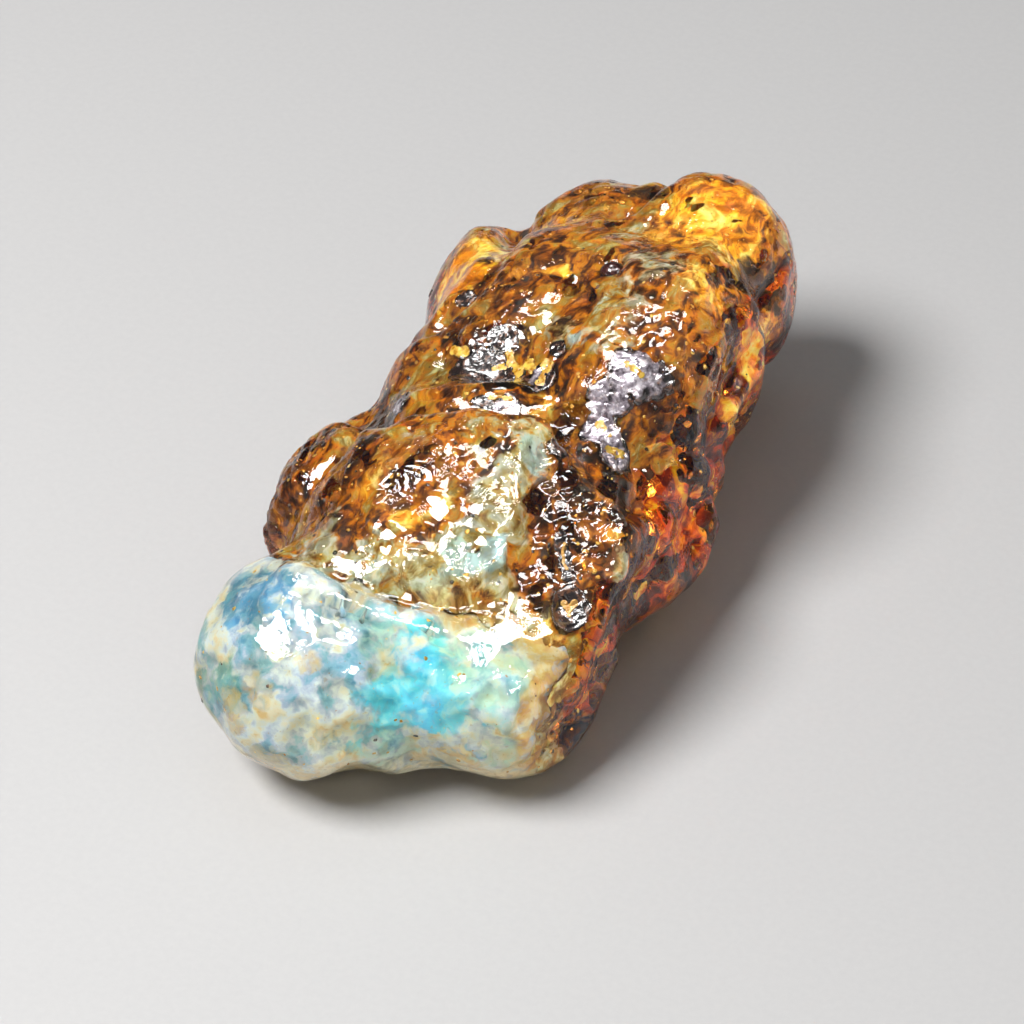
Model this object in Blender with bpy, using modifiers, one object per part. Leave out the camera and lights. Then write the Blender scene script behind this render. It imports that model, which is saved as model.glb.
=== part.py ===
"""Rough Dominican amber: one water-worn nugget with a milky blue end, lying on a small flat spot.

Metres, +Z up. The origin is on the surface that the nugget rests on, under the middle of its box.
+Y runs along its length towards the golden end, the blue end faces -Y, and the clear broken flank
faces +X. The nugget formed as one piece, so it is one solid.

It is made the way it looks to have grown: swollen lumps of resin run together, then the flank is
broken off flat, grooves, ridges, ledges and pits are worked into the skin, and last the foot is
worn flat.
"""

import math

import bmesh
import bpy
from mathutils import Euler, Matrix, Vector, kdtree, noise
from mathutils.bvhtree import BVHTree

MM = 0.001

# Driving dimensions of the whole nugget. Places are given as shares of them: across in half
# widths and along in half lengths from the middle, up in heights from the foot.
LENGTH = 54 * MM
WIDTH = 25.5 * MM
HEIGHT = 19.5 * MM

# How finely the lumps are fused, and how many times the skin is rounded off, first at the joints
# between the lumps and then over the worked skin.
FUSE_VOXEL = 0.42 * MM
JOINT_ROUNDING_PASSES = 18
SKIN_ROUNDING_PASSES = 2
ROUNDING_STRENGTH = 0.5

# The skin's own unevenness, as (wavelength, height) from broad swells to small bumps.
SKIN_SWELLS = ((9.0 * MM, 0.5 * MM), (4.4 * MM, 0.45 * MM), (2.3 * MM, 0.28 * MM))
SKIN_SEED = Vector((3.7, 11.2, 5.9))

# How far apart a path's points lie once it is laid on the skin.
PATH_STEP = 0.4 * MM

# A ledge's face slopes over this width.
LEDGE_FACE = 1.2 * MM

# A pit's raised lip: where it stands, how wide it is, and its height as a share of the depth.
LIP_AT = 1.15
LIP_WIDTH = 0.3
LIP_HEIGHT = 0.22

# Small hollows that weathering has left all over: how many, and their widths and depths.
DIMPLES = 70
DIMPLE_RADIUS = (0.7 * MM, 1.6 * MM)
DIMPLE_DEPTH = (0.15 * MM, 0.45 * MM)
GOLDEN_TURN = math.pi * (3 - math.sqrt(5))

TRIANGLES = 9300
SHORTEST_EDGE = 0.08 * MM
SHARP_ANGLE = math.radians(50)
AMBER_COLOUR = (0.62, 0.30, 0.07, 1.0)
AMBER_ROUGHNESS = 0.22
AMBER_IOR = 1.54

# Each lump: its centre, its radii as shares of the same lengths, and its turn in radians.
LUMPS = {
    "blue_end_left": ((-0.27, -0.69, 0.37), (0.60, 0.31, 0.37), (0.0, 0.0, -0.15)),
    "blue_end_right": ((0.44, -0.50, 0.34), (0.55, 0.315, 0.34), (0.0, 0.0, 0.0)),
    "blue_end_middle": ((0.11, -0.59, 0.34), (0.51, 0.335, 0.34), (0.0, 0.0, -0.3)),
    "blue_end_corner": ((0.63, -0.54, 0.24), (0.34, 0.22, 0.22), (0.0, 0.0, 0.0)),
    "middle": ((0.05, -0.26, 0.43), (0.86, 0.45, 0.46), (-0.10, 0.0, 0.0)),
    "middle_hump": ((0.32, -0.31, 0.61), (0.64, 0.28, 0.33), (0.0, 0.05, 0.15)),
    "left_shoulder": ((-0.62, -0.21, 0.39), (0.38, 0.285, 0.30), (0.0, 0.0, -0.10)),
    "left_waist": ((-0.46, 0.18, 0.42), (0.38, 0.315, 0.36), (0.0, 0.0, 0.0)),
    "right_flank": ((0.46, 0.03, 0.35), (0.58, 0.38, 0.35), (0.0, 0.0, 0.0)),
    "rear": ((0.04, 0.35, 0.47), (0.86, 0.47, 0.46), (0.06, 0.0, 0.0)),
    "rear_ridge": ((0.43, 0.32, 0.66), (0.52, 0.40, 0.32), (0.0, 0.15, 0.0)),
    "rear_left_bump": ((-0.64, 0.51, 0.47), (0.29, 0.21, 0.26), (0.0, 0.0, 0.2)),
    "golden_cap": ((0.31, 0.72, 0.56), (0.54, 0.275, 0.37), (0.0, 0.0, 0.0)),
    "golden_cap_left": ((-0.17, 0.69, 0.52), (0.46, 0.24, 0.33), (0.0, 0.0, 0.0)),
    "underside": ((0.05, -0.01, 0.22), (0.63, 0.61, 0.29), (0.0, 0.0, 0.0)),
}

# Each broken face: a place on it, and the direction that it faces. What stood past it is gone.
BREAKS = {
    "flank_front": ((0.93, -0.45, 0.45), (0.96, -0.22, 0.16)),
    "flank_middle": ((0.95, -0.10, 0.50), (0.98, -0.04, 0.12)),
    "flank_rear": ((0.97, 0.40, 0.50), (0.97, 0.02, 0.24)),
    "right_shelf": ((0.74, -0.50, 0.60), (0.42, -0.28, 0.86)),
    "golden_end": ((0.25, 0.985, 0.55), (0.10, 0.98, 0.14)),
    "back_left": ((-0.93, 0.02, 0.30), (-0.90, 0.08, -0.30)),
}
BREAK_LEFT_STANDING = 0.15

# The shell-like waves of a broken face, as (wavelength, height).
BREAK_WAVES = ((7.0 * MM, 1.1 * MM), (3.0 * MM, 0.5 * MM))

# Each groove or ridge: the places it runs through, its half width, and how deep or high it is.
GROOVES = {
    "behind_blue_end": (((-0.52, -0.64, 0.66), (-0.36, -0.66, 0.73), (-0.10, -0.71, 0.73),
                         (0.08, -0.68, 0.70), (0.27, -0.66, 0.68), (0.43, -0.61, 0.67)),
                        1.5 * MM, 0.9 * MM),
    "between_blue_lobes": (((-0.16, -0.79, 0.70), (-0.02, -0.79, 0.66), (0.12, -0.80, 0.60),
                            (0.23, -0.85, 0.50), (0.31, -0.85, 0.34), (0.33, -0.80, 0.18)),
                           1.8 * MM, 0.45 * MM),
    "across_the_waist": (((-0.74, -0.10, 0.58), (-0.48, -0.18, 0.76), (-0.24, -0.15, 0.86),
                          (-0.06, -0.12, 0.86), (0.15, -0.10, 0.88), (0.36, -0.06, 0.88),
                          (0.54, -0.11, 0.88), (0.70, -0.18, 0.84), (0.86, -0.16, 0.74)),
                         2.1 * MM, 1.5 * MM),
    "inside_left_shoulder": (((-0.55, -0.20, 0.74), (-0.60, -0.30, 0.73), (-0.66, -0.36, 0.66),
                              (-0.74, -0.41, 0.57), (-0.80, -0.45, 0.48), (-0.82, -0.46, 0.36)),
                             1.5 * MM, 1.1 * MM),
    "inside_rear_left_bump": (((-0.62, 0.66, 0.68), (-0.54, 0.50, 0.78), (-0.45, 0.38, 0.82),
                               (-0.46, 0.27, 0.82), (-0.56, 0.18, 0.74)),
                              1.4 * MM, 1.0 * MM),
    "between_golden_caps": (((0.08, 0.96, 0.66), (0.05, 0.84, 0.86), (0.00, 0.74, 0.87),
                             (-0.06, 0.66, 0.86)),
                            1.3 * MM, 0.9 * MM),
    "down_the_flank": (((0.86, -0.16, 0.74), (0.94, -0.02, 0.60), (0.94, 0.10, 0.45),
                        (0.90, 0.20, 0.30), (0.78, 0.27, 0.14)),
                       1.6 * MM, 0.8 * MM),
    "along_the_rear_flank": (((0.93, 0.16, 0.66), (0.93, 0.34, 0.70), (0.88, 0.52, 0.72),
                              (0.76, 0.70, 0.72)),
                             1.2 * MM, 0.6 * MM),
    "down_the_back_left": (((-0.60, 0.18, 0.72), (-0.82, 0.14, 0.50), (-0.80, 0.08, 0.25)),
                           1.7 * MM, 0.9 * MM),
    "round_the_back": (((-0.70, 0.70, 0.40), (-0.35, 0.86, 0.30), (0.10, 0.94, 0.24),
                        (0.50, 0.90, 0.26)),
                       1.5 * MM, 0.7 * MM),
}
RIDGES = {
    "blue_end_brow": (((-0.36, -0.76, 0.73), (-0.19, -0.76, 0.72), (-0.02, -0.75, 0.68),
                       (0.14, -0.73, 0.66), (0.32, -0.71, 0.63)),
                      1.2 * MM, 0.5 * MM),
    "spine": (((0.34, -0.11, 0.95), (0.33, -0.16, 0.95), (0.35, -0.27, 0.93), (0.36, -0.34, 0.89),
               (0.41, -0.38, 0.83), (0.46, -0.45, 0.79), (0.45, -0.50, 0.76), (0.42, -0.55, 0.73)),
              1.5 * MM, 0.6 * MM),
    "shelf_edge": (((0.82, -0.17, 0.82), (0.89, -0.26, 0.72), (0.90, -0.35, 0.60),
                    (0.92, -0.46, 0.52), (0.92, -0.58, 0.38)),
                   0.9 * MM, 0.35 * MM),
    "rear_crest": (((0.62, 0.10, 0.92), (0.66, 0.28, 0.97), (0.62, 0.44, 0.97), (0.52, 0.60, 0.94)),
                   1.6 * MM, 0.4 * MM),
}

# Each ledge: a path with the skin dropping on its right as the path runs, how far the drop
# reaches before the skin has risen again, and how deep it is.
LEDGES = {
    "crystal_face": (((0.52, -0.60, 0.66), (0.50, -0.48, 0.74), (0.46, -0.38, 0.82),
                      (0.42, -0.28, 0.90), (0.48, -0.22, 0.92), (0.62, -0.20, 0.90)),
                     5.0 * MM, 0.8 * MM),
    "flank_flake": (((0.91, -0.42, 0.50), (0.93, -0.34, 0.52), (0.94, -0.24, 0.50),
                     (0.93, -0.15, 0.42)),
                    3.6 * MM, 0.9 * MM),
    "rear_step": (((-0.10, 0.20, 0.84), (0.02, 0.29, 0.90), (0.16, 0.33, 0.93),
                   (0.30, 0.24, 0.93)),
                  3.6 * MM, 0.7 * MM),
    "back_left_flake": (((-0.86, -0.30, 0.30), (-0.90, -0.14, 0.46), (-0.84, 0.02, 0.50)),
                        3.6 * MM, 0.8 * MM),
}

# Each pit: its place on the skin, its radius and its depth.
PITS = {
    "golden_pit": ((-0.07, -0.48, 0.84), 2.2 * MM, 1.0 * MM),
    "golden_pit_end": ((0.09, -0.51, 0.82), 1.5 * MM, 0.6 * MM),
    "ringed_crater": ((0.78, -0.50, 0.60), 1.3 * MM, 0.9 * MM),
    "dark_curl": ((0.67, -0.41, 0.71), 1.2 * MM, 0.7 * MM),
    "dark_hole": ((0.50, -0.24, 0.93), 1.2 * MM, 0.9 * MM),
    "black_hollow": ((-0.12, 0.06, 0.80), 2.6 * MM, 0.9 * MM),
    "black_hollow_right": ((0.60, -0.10, 0.93), 1.9 * MM, 0.5 * MM),
    "waist_hollow": ((-0.44, -0.19, 0.78), 1.9 * MM, 0.7 * MM),
    "rear_pit": ((0.04, 0.31, 0.92), 1.2 * MM, 0.7 * MM),
    "rear_pit_right": ((0.18, 0.37, 0.94), 1.2 * MM, 0.8 * MM),
    "rear_hollow": ((0.28, 0.28, 0.97), 2.4 * MM, 0.7 * MM),
    "flank_scoop": ((0.93, 0.00, 0.42), 3.2 * MM, 1.0 * MM),
    "flank_scoop_rear": ((0.93, 0.36, 0.44), 3.6 * MM, 1.0 * MM),
    "back_scoop": ((-0.35, 0.88, 0.55), 3.0 * MM, 0.8 * MM),
    "back_left_scoop": ((-0.86, 0.30, 0.40), 2.6 * MM, 0.8 * MM),
    "under_blue_end": ((0.00, -0.86, 0.12), 2.6 * MM, 0.8 * MM),
}


def in_box(share):
    """A place given as shares of half the width, half the length and the height, in metres."""
    across, along, up = share
    return Vector((across * WIDTH / 2, along * LENGTH / 2, up * HEIGHT))


def clear_scene():
    """Removes what the scene holds."""
    for old in list(bpy.data.objects):
        bpy.data.objects.remove(old, do_unlink=True)


def collection(name):
    """A new collection in the scene."""
    made = bpy.data.collections.new(name)
    bpy.context.scene.collection.children.link(made)
    return made


def lump_mesh():
    """All the lumps as overlapping balls in one mesh."""
    mesh = bmesh.new()
    for centre, radii, turn in LUMPS.values():
        place = Matrix.LocRotScale(in_box(centre), Euler(turn), in_box(radii))
        bmesh.ops.create_uvsphere(mesh, u_segments=48, v_segments=32, radius=1.0, matrix=place)
    made = bpy.data.meshes.new("lumps")
    mesh.to_mesh(made)
    mesh.free()
    return made


def plain_mesh(source):
    """An object's mesh with its modifiers worked in. The object is then removed."""
    graph = bpy.context.evaluated_depsgraph_get()
    made = bpy.data.meshes.new_from_object(source.evaluated_get(graph))
    bpy.data.objects.remove(source)
    return made


def fused(mesh, into, rounding_passes):
    """A mesh that passes through itself, run together into one skin and rounded off."""
    clay = bpy.data.objects.new("clay", mesh)
    into.objects.link(clay)
    fuse = clay.modifiers.new("fuse", "REMESH")
    fuse.mode = "VOXEL"
    fuse.voxel_size = FUSE_VOXEL
    rounding = clay.modifiers.new("rounding", "SMOOTH")
    rounding.factor = ROUNDING_STRENGTH
    rounding.iterations = rounding_passes
    return plain_mesh(clay)


def thinned(mesh, into):
    """The same skin in fewer triangles."""
    clay = bpy.data.objects.new("clay", mesh)
    into.objects.link(clay)
    fewer = clay.modifiers.new("fewer", "DECIMATE")
    mesh.calc_loop_triangles()
    fewer.ratio = TRIANGLES / len(mesh.loop_triangles)
    fewer.use_collapse_triangulate = True
    return plain_mesh(clay)


def bowl(share):
    """A hollow's depth at a share of its radius: 1 in the middle, 0 at the edge and past it."""
    return (1 - share * share) ** 2 if abs(share) < 1 else 0.0


def laid_on(tree, path):
    """A path through the given places, laid on the skin: a place and a normal every step."""
    corners = [in_box(share) for share in path]
    laid = []
    for start, end in zip(corners, corners[1:]):
        steps = max(1, round((end - start).length / PATH_STEP))
        for step in range(steps):
            place, normal, _, _ = tree.find_nearest(start.lerp(end, step / steps))
            laid.append((place, normal))
    place, normal, _, _ = tree.find_nearest(corners[-1])
    laid.append((place, normal))
    return laid


def finder_of(places):
    """A finder of the place that is nearest to a point."""
    finder = kdtree.KDTree(len(places))
    for index, place in enumerate(places):
        finder.insert(place, index)
    finder.balance()
    return finder


def move_along_normals(mesh, height_at):
    """Moves each vertex along its normal by what height_at gives for it."""
    mesh.normal_update()
    moves = [(vertex, vertex.normal * height_at(vertex.co)) for vertex in mesh.verts]
    for vertex, move in moves:
        vertex.co += move


def swell(point, waves):
    """The height of a pattern of waves, given as (wavelength, height), at a point."""
    return sum(height * noise.noise(point / wavelength + SKIN_SEED) for wavelength, height in waves)


def roughen(mesh):
    """The skin's own unevenness."""
    move_along_normals(mesh, lambda point: swell(point, SKIN_SWELLS))


def break_off(mesh):
    """Presses what stands past each broken face back onto its waves, but for a trace of relief."""
    for share, facing in BREAKS.values():
        place = in_box(share)
        normal = Vector(facing).normalized()
        for vertex in mesh.verts:
            past = (vertex.co - place).dot(normal) + abs(swell(vertex.co, BREAK_WAVES))
            if past > 0:
                vertex.co -= normal * past * (1 - BREAK_LEFT_STANDING)


def run_stroke(mesh, path, half_width, height):
    """A rounded ridge along a path, or a groove where the height is below zero."""
    laid = laid_on(BVHTree.FromBMesh(mesh), path)
    finder = finder_of([place for place, _ in laid])

    def height_at(point):
        _, _, distance = finder.find(point)
        return height * bowl(distance / half_width)
    move_along_normals(mesh, height_at)


def drop_ledge(mesh, path, reach, depth):
    """A sharp step down on the right of a path, from which the skin rises again over its reach."""
    laid = laid_on(BVHTree.FromBMesh(mesh), path)
    finder = finder_of([place for place, _ in laid])
    last = len(laid) - 1

    def height_at(point):
        _, index, distance = finder.find(point)
        place, normal = laid[index]
        ahead = laid[min(index + 1, last)][0] - laid[max(index - 1, 0)][0]
        past_edge = (point - place).dot(ahead.cross(normal).normalized())
        if distance > reach or past_edge < 0:
            return 0.0
        face = min(1.0, past_edge / LEDGE_FACE)
        ends = min(1.0, 4 * min(index, last - index) / last)
        return -depth * face * ends * (1 - distance / reach) ** 2
    move_along_normals(mesh, height_at)


def sink_pit(mesh, place, radius, depth):
    """A rounded pit with a low lip."""
    def height_at(point):
        share = (point - place).length / radius
        lip = depth * LIP_HEIGHT * bowl((share - LIP_AT) / LIP_WIDTH)
        return lip - depth * bowl(share)
    move_along_normals(mesh, height_at)


def sink_dimples(mesh):
    """Small hollows spread evenly round the nugget, their sizes taken from its own noise."""
    tree = BVHTree.FromBMesh(mesh)
    hollows = []
    for index in range(DIMPLES):
        along = 1 - 2 * (index + 0.5) / DIMPLES
        turn = index * GOLDEN_TURN
        ring = math.sqrt(1 - along * along)
        place = in_box((ring * math.cos(turn), along, 0.5 + ring * math.sin(turn) / 2))
        on_skin, _, _, _ = tree.find_nearest(place)
        size = 0.5 + 0.5 * noise.noise(SKIN_SEED * (index + 1))
        radius = DIMPLE_RADIUS[0] + (DIMPLE_RADIUS[1] - DIMPLE_RADIUS[0]) * size
        depth = DIMPLE_DEPTH[0] + (DIMPLE_DEPTH[1] - DIMPLE_DEPTH[0]) * size
        hollows.append((on_skin, radius, depth))
    finder = finder_of([place for place, _, _ in hollows])

    def height_at(point):
        _, index, distance = finder.find(point)
        _, radius, depth = hollows[index]
        return -depth * bowl(distance / radius)
    move_along_normals(mesh, height_at)


def sculpt(mesh):
    """Works every form into the fused skin, from the broadest to the smallest."""
    roughen(mesh)
    break_off(mesh)
    for path, half_width, depth in GROOVES.values():
        run_stroke(mesh, path, half_width, -depth)
    for path, half_width, height in RIDGES.values():
        run_stroke(mesh, path, half_width, height)
    for path, reach, depth in LEDGES.values():
        drop_ledge(mesh, path, reach, depth)
    tree = BVHTree.FromBMesh(mesh)
    for share, radius, depth in PITS.values():
        on_skin, _, _, _ = tree.find_nearest(in_box(share))
        sink_pit(mesh, on_skin, radius, depth)
    sink_dimples(mesh)


def fit_to_box(mesh):
    """Brings the skin to the driving dimensions: centred across and along, its top at HEIGHT."""
    low = Vector(map(min, zip(*(vertex.co for vertex in mesh.verts))))
    high = Vector(map(max, zip(*(vertex.co for vertex in mesh.verts))))
    middle = (low + high) / 2
    across = WIDTH / (high.x - low.x)
    along = LENGTH / (high.y - low.y)
    up = HEIGHT / high.z
    for vertex in mesh.verts:
        vertex.co.x = (vertex.co.x - middle.x) * across
        vertex.co.y = (vertex.co.y - middle.y) * along
        vertex.co.z *= up


def wear_foot(mesh):
    """Cuts the underside off flat at the height it rests on, and closes each cut with a flat face."""
    bmesh.ops.bisect_plane(
        mesh, geom=mesh.verts[:] + mesh.edges[:] + mesh.faces[:],
        plane_co=(0, 0, 0), plane_no=(0, 0, 1), clear_inner=True)
    bmesh.ops.dissolve_degenerate(mesh, dist=SHORTEST_EDGE, edges=mesh.edges[:])
    rim = [edge for edge in mesh.edges if edge.is_boundary]
    for edge in rim:
        for vertex in edge.verts:
            vertex.co.z = 0
    bmesh.ops.holes_fill(mesh, edges=rim)
    bmesh.ops.triangulate(mesh, faces=[face for face in mesh.faces if len(face.verts) > 3])


def amber_material():
    """The nugget's own material: honey-coloured resin with a water-worn gloss."""
    made = bpy.data.materials.new("amber")
    made.use_nodes = True
    made.diffuse_color = AMBER_COLOUR
    shader = made.node_tree.nodes["Principled BSDF"]
    shader.inputs["Base Color"].default_value = AMBER_COLOUR
    shader.inputs["Roughness"].default_value = AMBER_ROUGHNESS
    shader.inputs["IOR"].default_value = AMBER_IOR
    return made


def make_nugget(into):
    """The nugget as one object."""
    skin = fused(lump_mesh(), into, JOINT_ROUNDING_PASSES)
    mesh = bmesh.new()
    mesh.from_mesh(skin)
    sculpt(mesh)
    mesh.to_mesh(skin)
    skin = thinned(fused(skin, into, SKIN_ROUNDING_PASSES), into)
    mesh.clear()
    mesh.from_mesh(skin)
    fit_to_box(mesh)
    wear_foot(mesh)
    mesh.to_mesh(skin)
    mesh.free()
    skin.name = "amber_nugget"
    skin.shade_smooth()
    skin.set_sharp_from_angle(angle=SHARP_ANGLE)
    skin.materials.append(amber_material())
    nugget = bpy.data.objects.new("amber_nugget", skin)
    into.objects.link(nugget)


def main():
    clear_scene()
    make_nugget(collection("rough_amber"))


main()
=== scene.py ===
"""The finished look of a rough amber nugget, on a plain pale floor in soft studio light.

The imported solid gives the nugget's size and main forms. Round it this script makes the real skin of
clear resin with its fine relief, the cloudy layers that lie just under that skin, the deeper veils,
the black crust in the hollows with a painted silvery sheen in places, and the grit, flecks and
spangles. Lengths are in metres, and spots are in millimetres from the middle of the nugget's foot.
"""

from __future__ import annotations

import logging
import math
from dataclasses import dataclass, field, replace
from enum import Enum
from typing import Sequence

import bmesh
import bpy
import numpy as np
from mathutils import Matrix, Vector, noise
from mathutils.bvhtree import BVHTree


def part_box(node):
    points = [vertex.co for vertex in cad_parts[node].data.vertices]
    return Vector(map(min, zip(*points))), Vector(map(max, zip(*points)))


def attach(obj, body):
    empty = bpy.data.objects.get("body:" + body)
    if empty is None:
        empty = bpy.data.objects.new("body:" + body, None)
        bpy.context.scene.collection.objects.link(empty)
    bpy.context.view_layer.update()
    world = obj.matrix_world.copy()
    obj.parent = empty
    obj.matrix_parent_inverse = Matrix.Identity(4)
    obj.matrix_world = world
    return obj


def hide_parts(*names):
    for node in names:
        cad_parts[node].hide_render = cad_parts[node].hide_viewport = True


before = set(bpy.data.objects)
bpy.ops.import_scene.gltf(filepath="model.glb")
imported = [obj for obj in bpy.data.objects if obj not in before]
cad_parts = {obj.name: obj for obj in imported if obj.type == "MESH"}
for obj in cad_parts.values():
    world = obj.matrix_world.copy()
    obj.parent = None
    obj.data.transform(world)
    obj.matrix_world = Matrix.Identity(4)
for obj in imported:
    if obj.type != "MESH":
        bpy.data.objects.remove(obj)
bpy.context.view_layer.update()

LOG = logging.getLogger("amber")
MM = 0.001
NODE = "amber_nugget"
LOW, HIGH = (np.array(corner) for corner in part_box(NODE))

Spot = tuple[float, float, float]
Colour = tuple[float, float, float]
Shade = tuple[int, int, int]
Stops = Sequence[tuple[float, Shade]]
Inputs = dict[str | int, object]
Node = bpy.types.Node
Socket = bpy.types.NodeSocket


class Zone(Enum):
    """The kinds of ground that the nugget's skin shows, each kept as a weight on the meshes."""

    MILK = "milk"
    CYAN = "cyan"
    BLUE = "blue"
    TEAL = "teal"
    SAND = "sand"
    PALE = "pale"
    AQUA = "aqua"
    GOLD = "gold"
    BROWN = "brown"
    DARK = "dark"
    CLEAR = "clear"
    CRUST = "crust"
    YOLK = "yolk"
    HEART = "heart"
    CREAM = "cream"
    FRINGE = "fringe"
    BEADS = "beads"
    LIP = "lip"
    RIM = "rim"
    # Where the crust gets a painted silvery sheen: light grey colour standing in for reflection.
    PAINTED_SILVER_SHEEN = "painted_silver_sheen"


def shade(red: int, green: int, blue: int) -> Colour:
    """A colour as a screen shows it, from 0 to 255 a channel, made linear."""
    return tuple(((c / 255 + 0.055) / 1.055) ** 2.4 if c > 10 else c / 3294 for c in (red, green, blue))


def smooth(low: float, high: float, value: np.ndarray) -> np.ndarray:
    """A soft step from 0 at low to 1 at high."""
    t = np.clip((value - low) / (high - low), 0, 1)
    return t * t * (3 - 2 * t)


def waves(points: np.ndarray, size: float, octaves: int = 3, seed: float = 0.0,
          stretch: Spot = (1, 1, 1)) -> np.ndarray:
    """Fractal noise at each place, from about -1 to 1.

    Args:
        points: The places, one a row.
        size: The length of the broadest waves.
        octaves: How many finer waves are added.
        seed: Moves the pattern to another part of the noise.
        stretch: How much longer the waves are along X, Y and Z.

    Returns:
        One value for each place.
    """
    scaled = points / (size * np.asarray(stretch, float)) + seed
    return np.fromiter((noise.fractal(Vector(p), 1.0, 2.0, octaves) for p in scaled), float, len(points))


def cell_distances(points: np.ndarray, size: float, seed: float = 0.0) -> tuple[np.ndarray, np.ndarray]:
    """How far each place is from the nearest and the second nearest of many scattered middles.

    Args:
        points: The places, one a row.
        size: The usual distance between middles.
        seed: Moves the pattern.

    Returns:
        Both distances for each place, in sizes.
    """
    found = np.array([noise.voronoi(Vector(p))[0][:2] for p in points / size + seed])
    return found[:, 0], found[:, 1]


@dataclass(frozen=True)
class Patch:
    """A soft-edged patch of one kind of ground round a spot on the skin, in millimetres."""

    spot: Spot
    radius: float
    amount: float = 1.0

    def settled(self, skin_map: SkinMap) -> Patch:
        """The patch with its middle moved onto the skin."""
        return replace(self, spot=tuple(skin_map.onto(self.spot) / MM))

    def weight(self, points: np.ndarray, ragged: np.ndarray) -> np.ndarray:
        """How strongly the patch shows at each place, with its edge moved by ragged."""
        distance = np.linalg.norm(points / MM - np.asarray(self.spot), axis=1)
        return self.amount * (1 - smooth(0.65, 1.25, distance / self.radius + 0.4 * ragged))


def trail(radius: float, *spots: Spot, spacing: float = 0.3) -> tuple[Patch, ...]:
    """Small patches in a row along a bent line.

    Args:
        radius: Each patch's radius, in millimetres.
        spots: The line's corners, in millimetres.
        spacing: The distance between patches, in millimetres.

    Returns:
        The patches.
    """
    made = []
    for first, last in zip(spots, spots[1:]):
        start, end = Vector(first), Vector(last)
        steps = max(1, round((end - start).length / spacing))
        made += [Patch(tuple(start.lerp(end, step / steps)), radius) for step in range(steps + 1)]
    return tuple(made)


def patches(*rows: tuple[float, ...]) -> tuple[Patch, ...]:
    """Patches from rows of a spot, a radius and, where it isn't 1, an amount."""
    return tuple(Patch(row[:3], *row[3:]) for row in rows)


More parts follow.
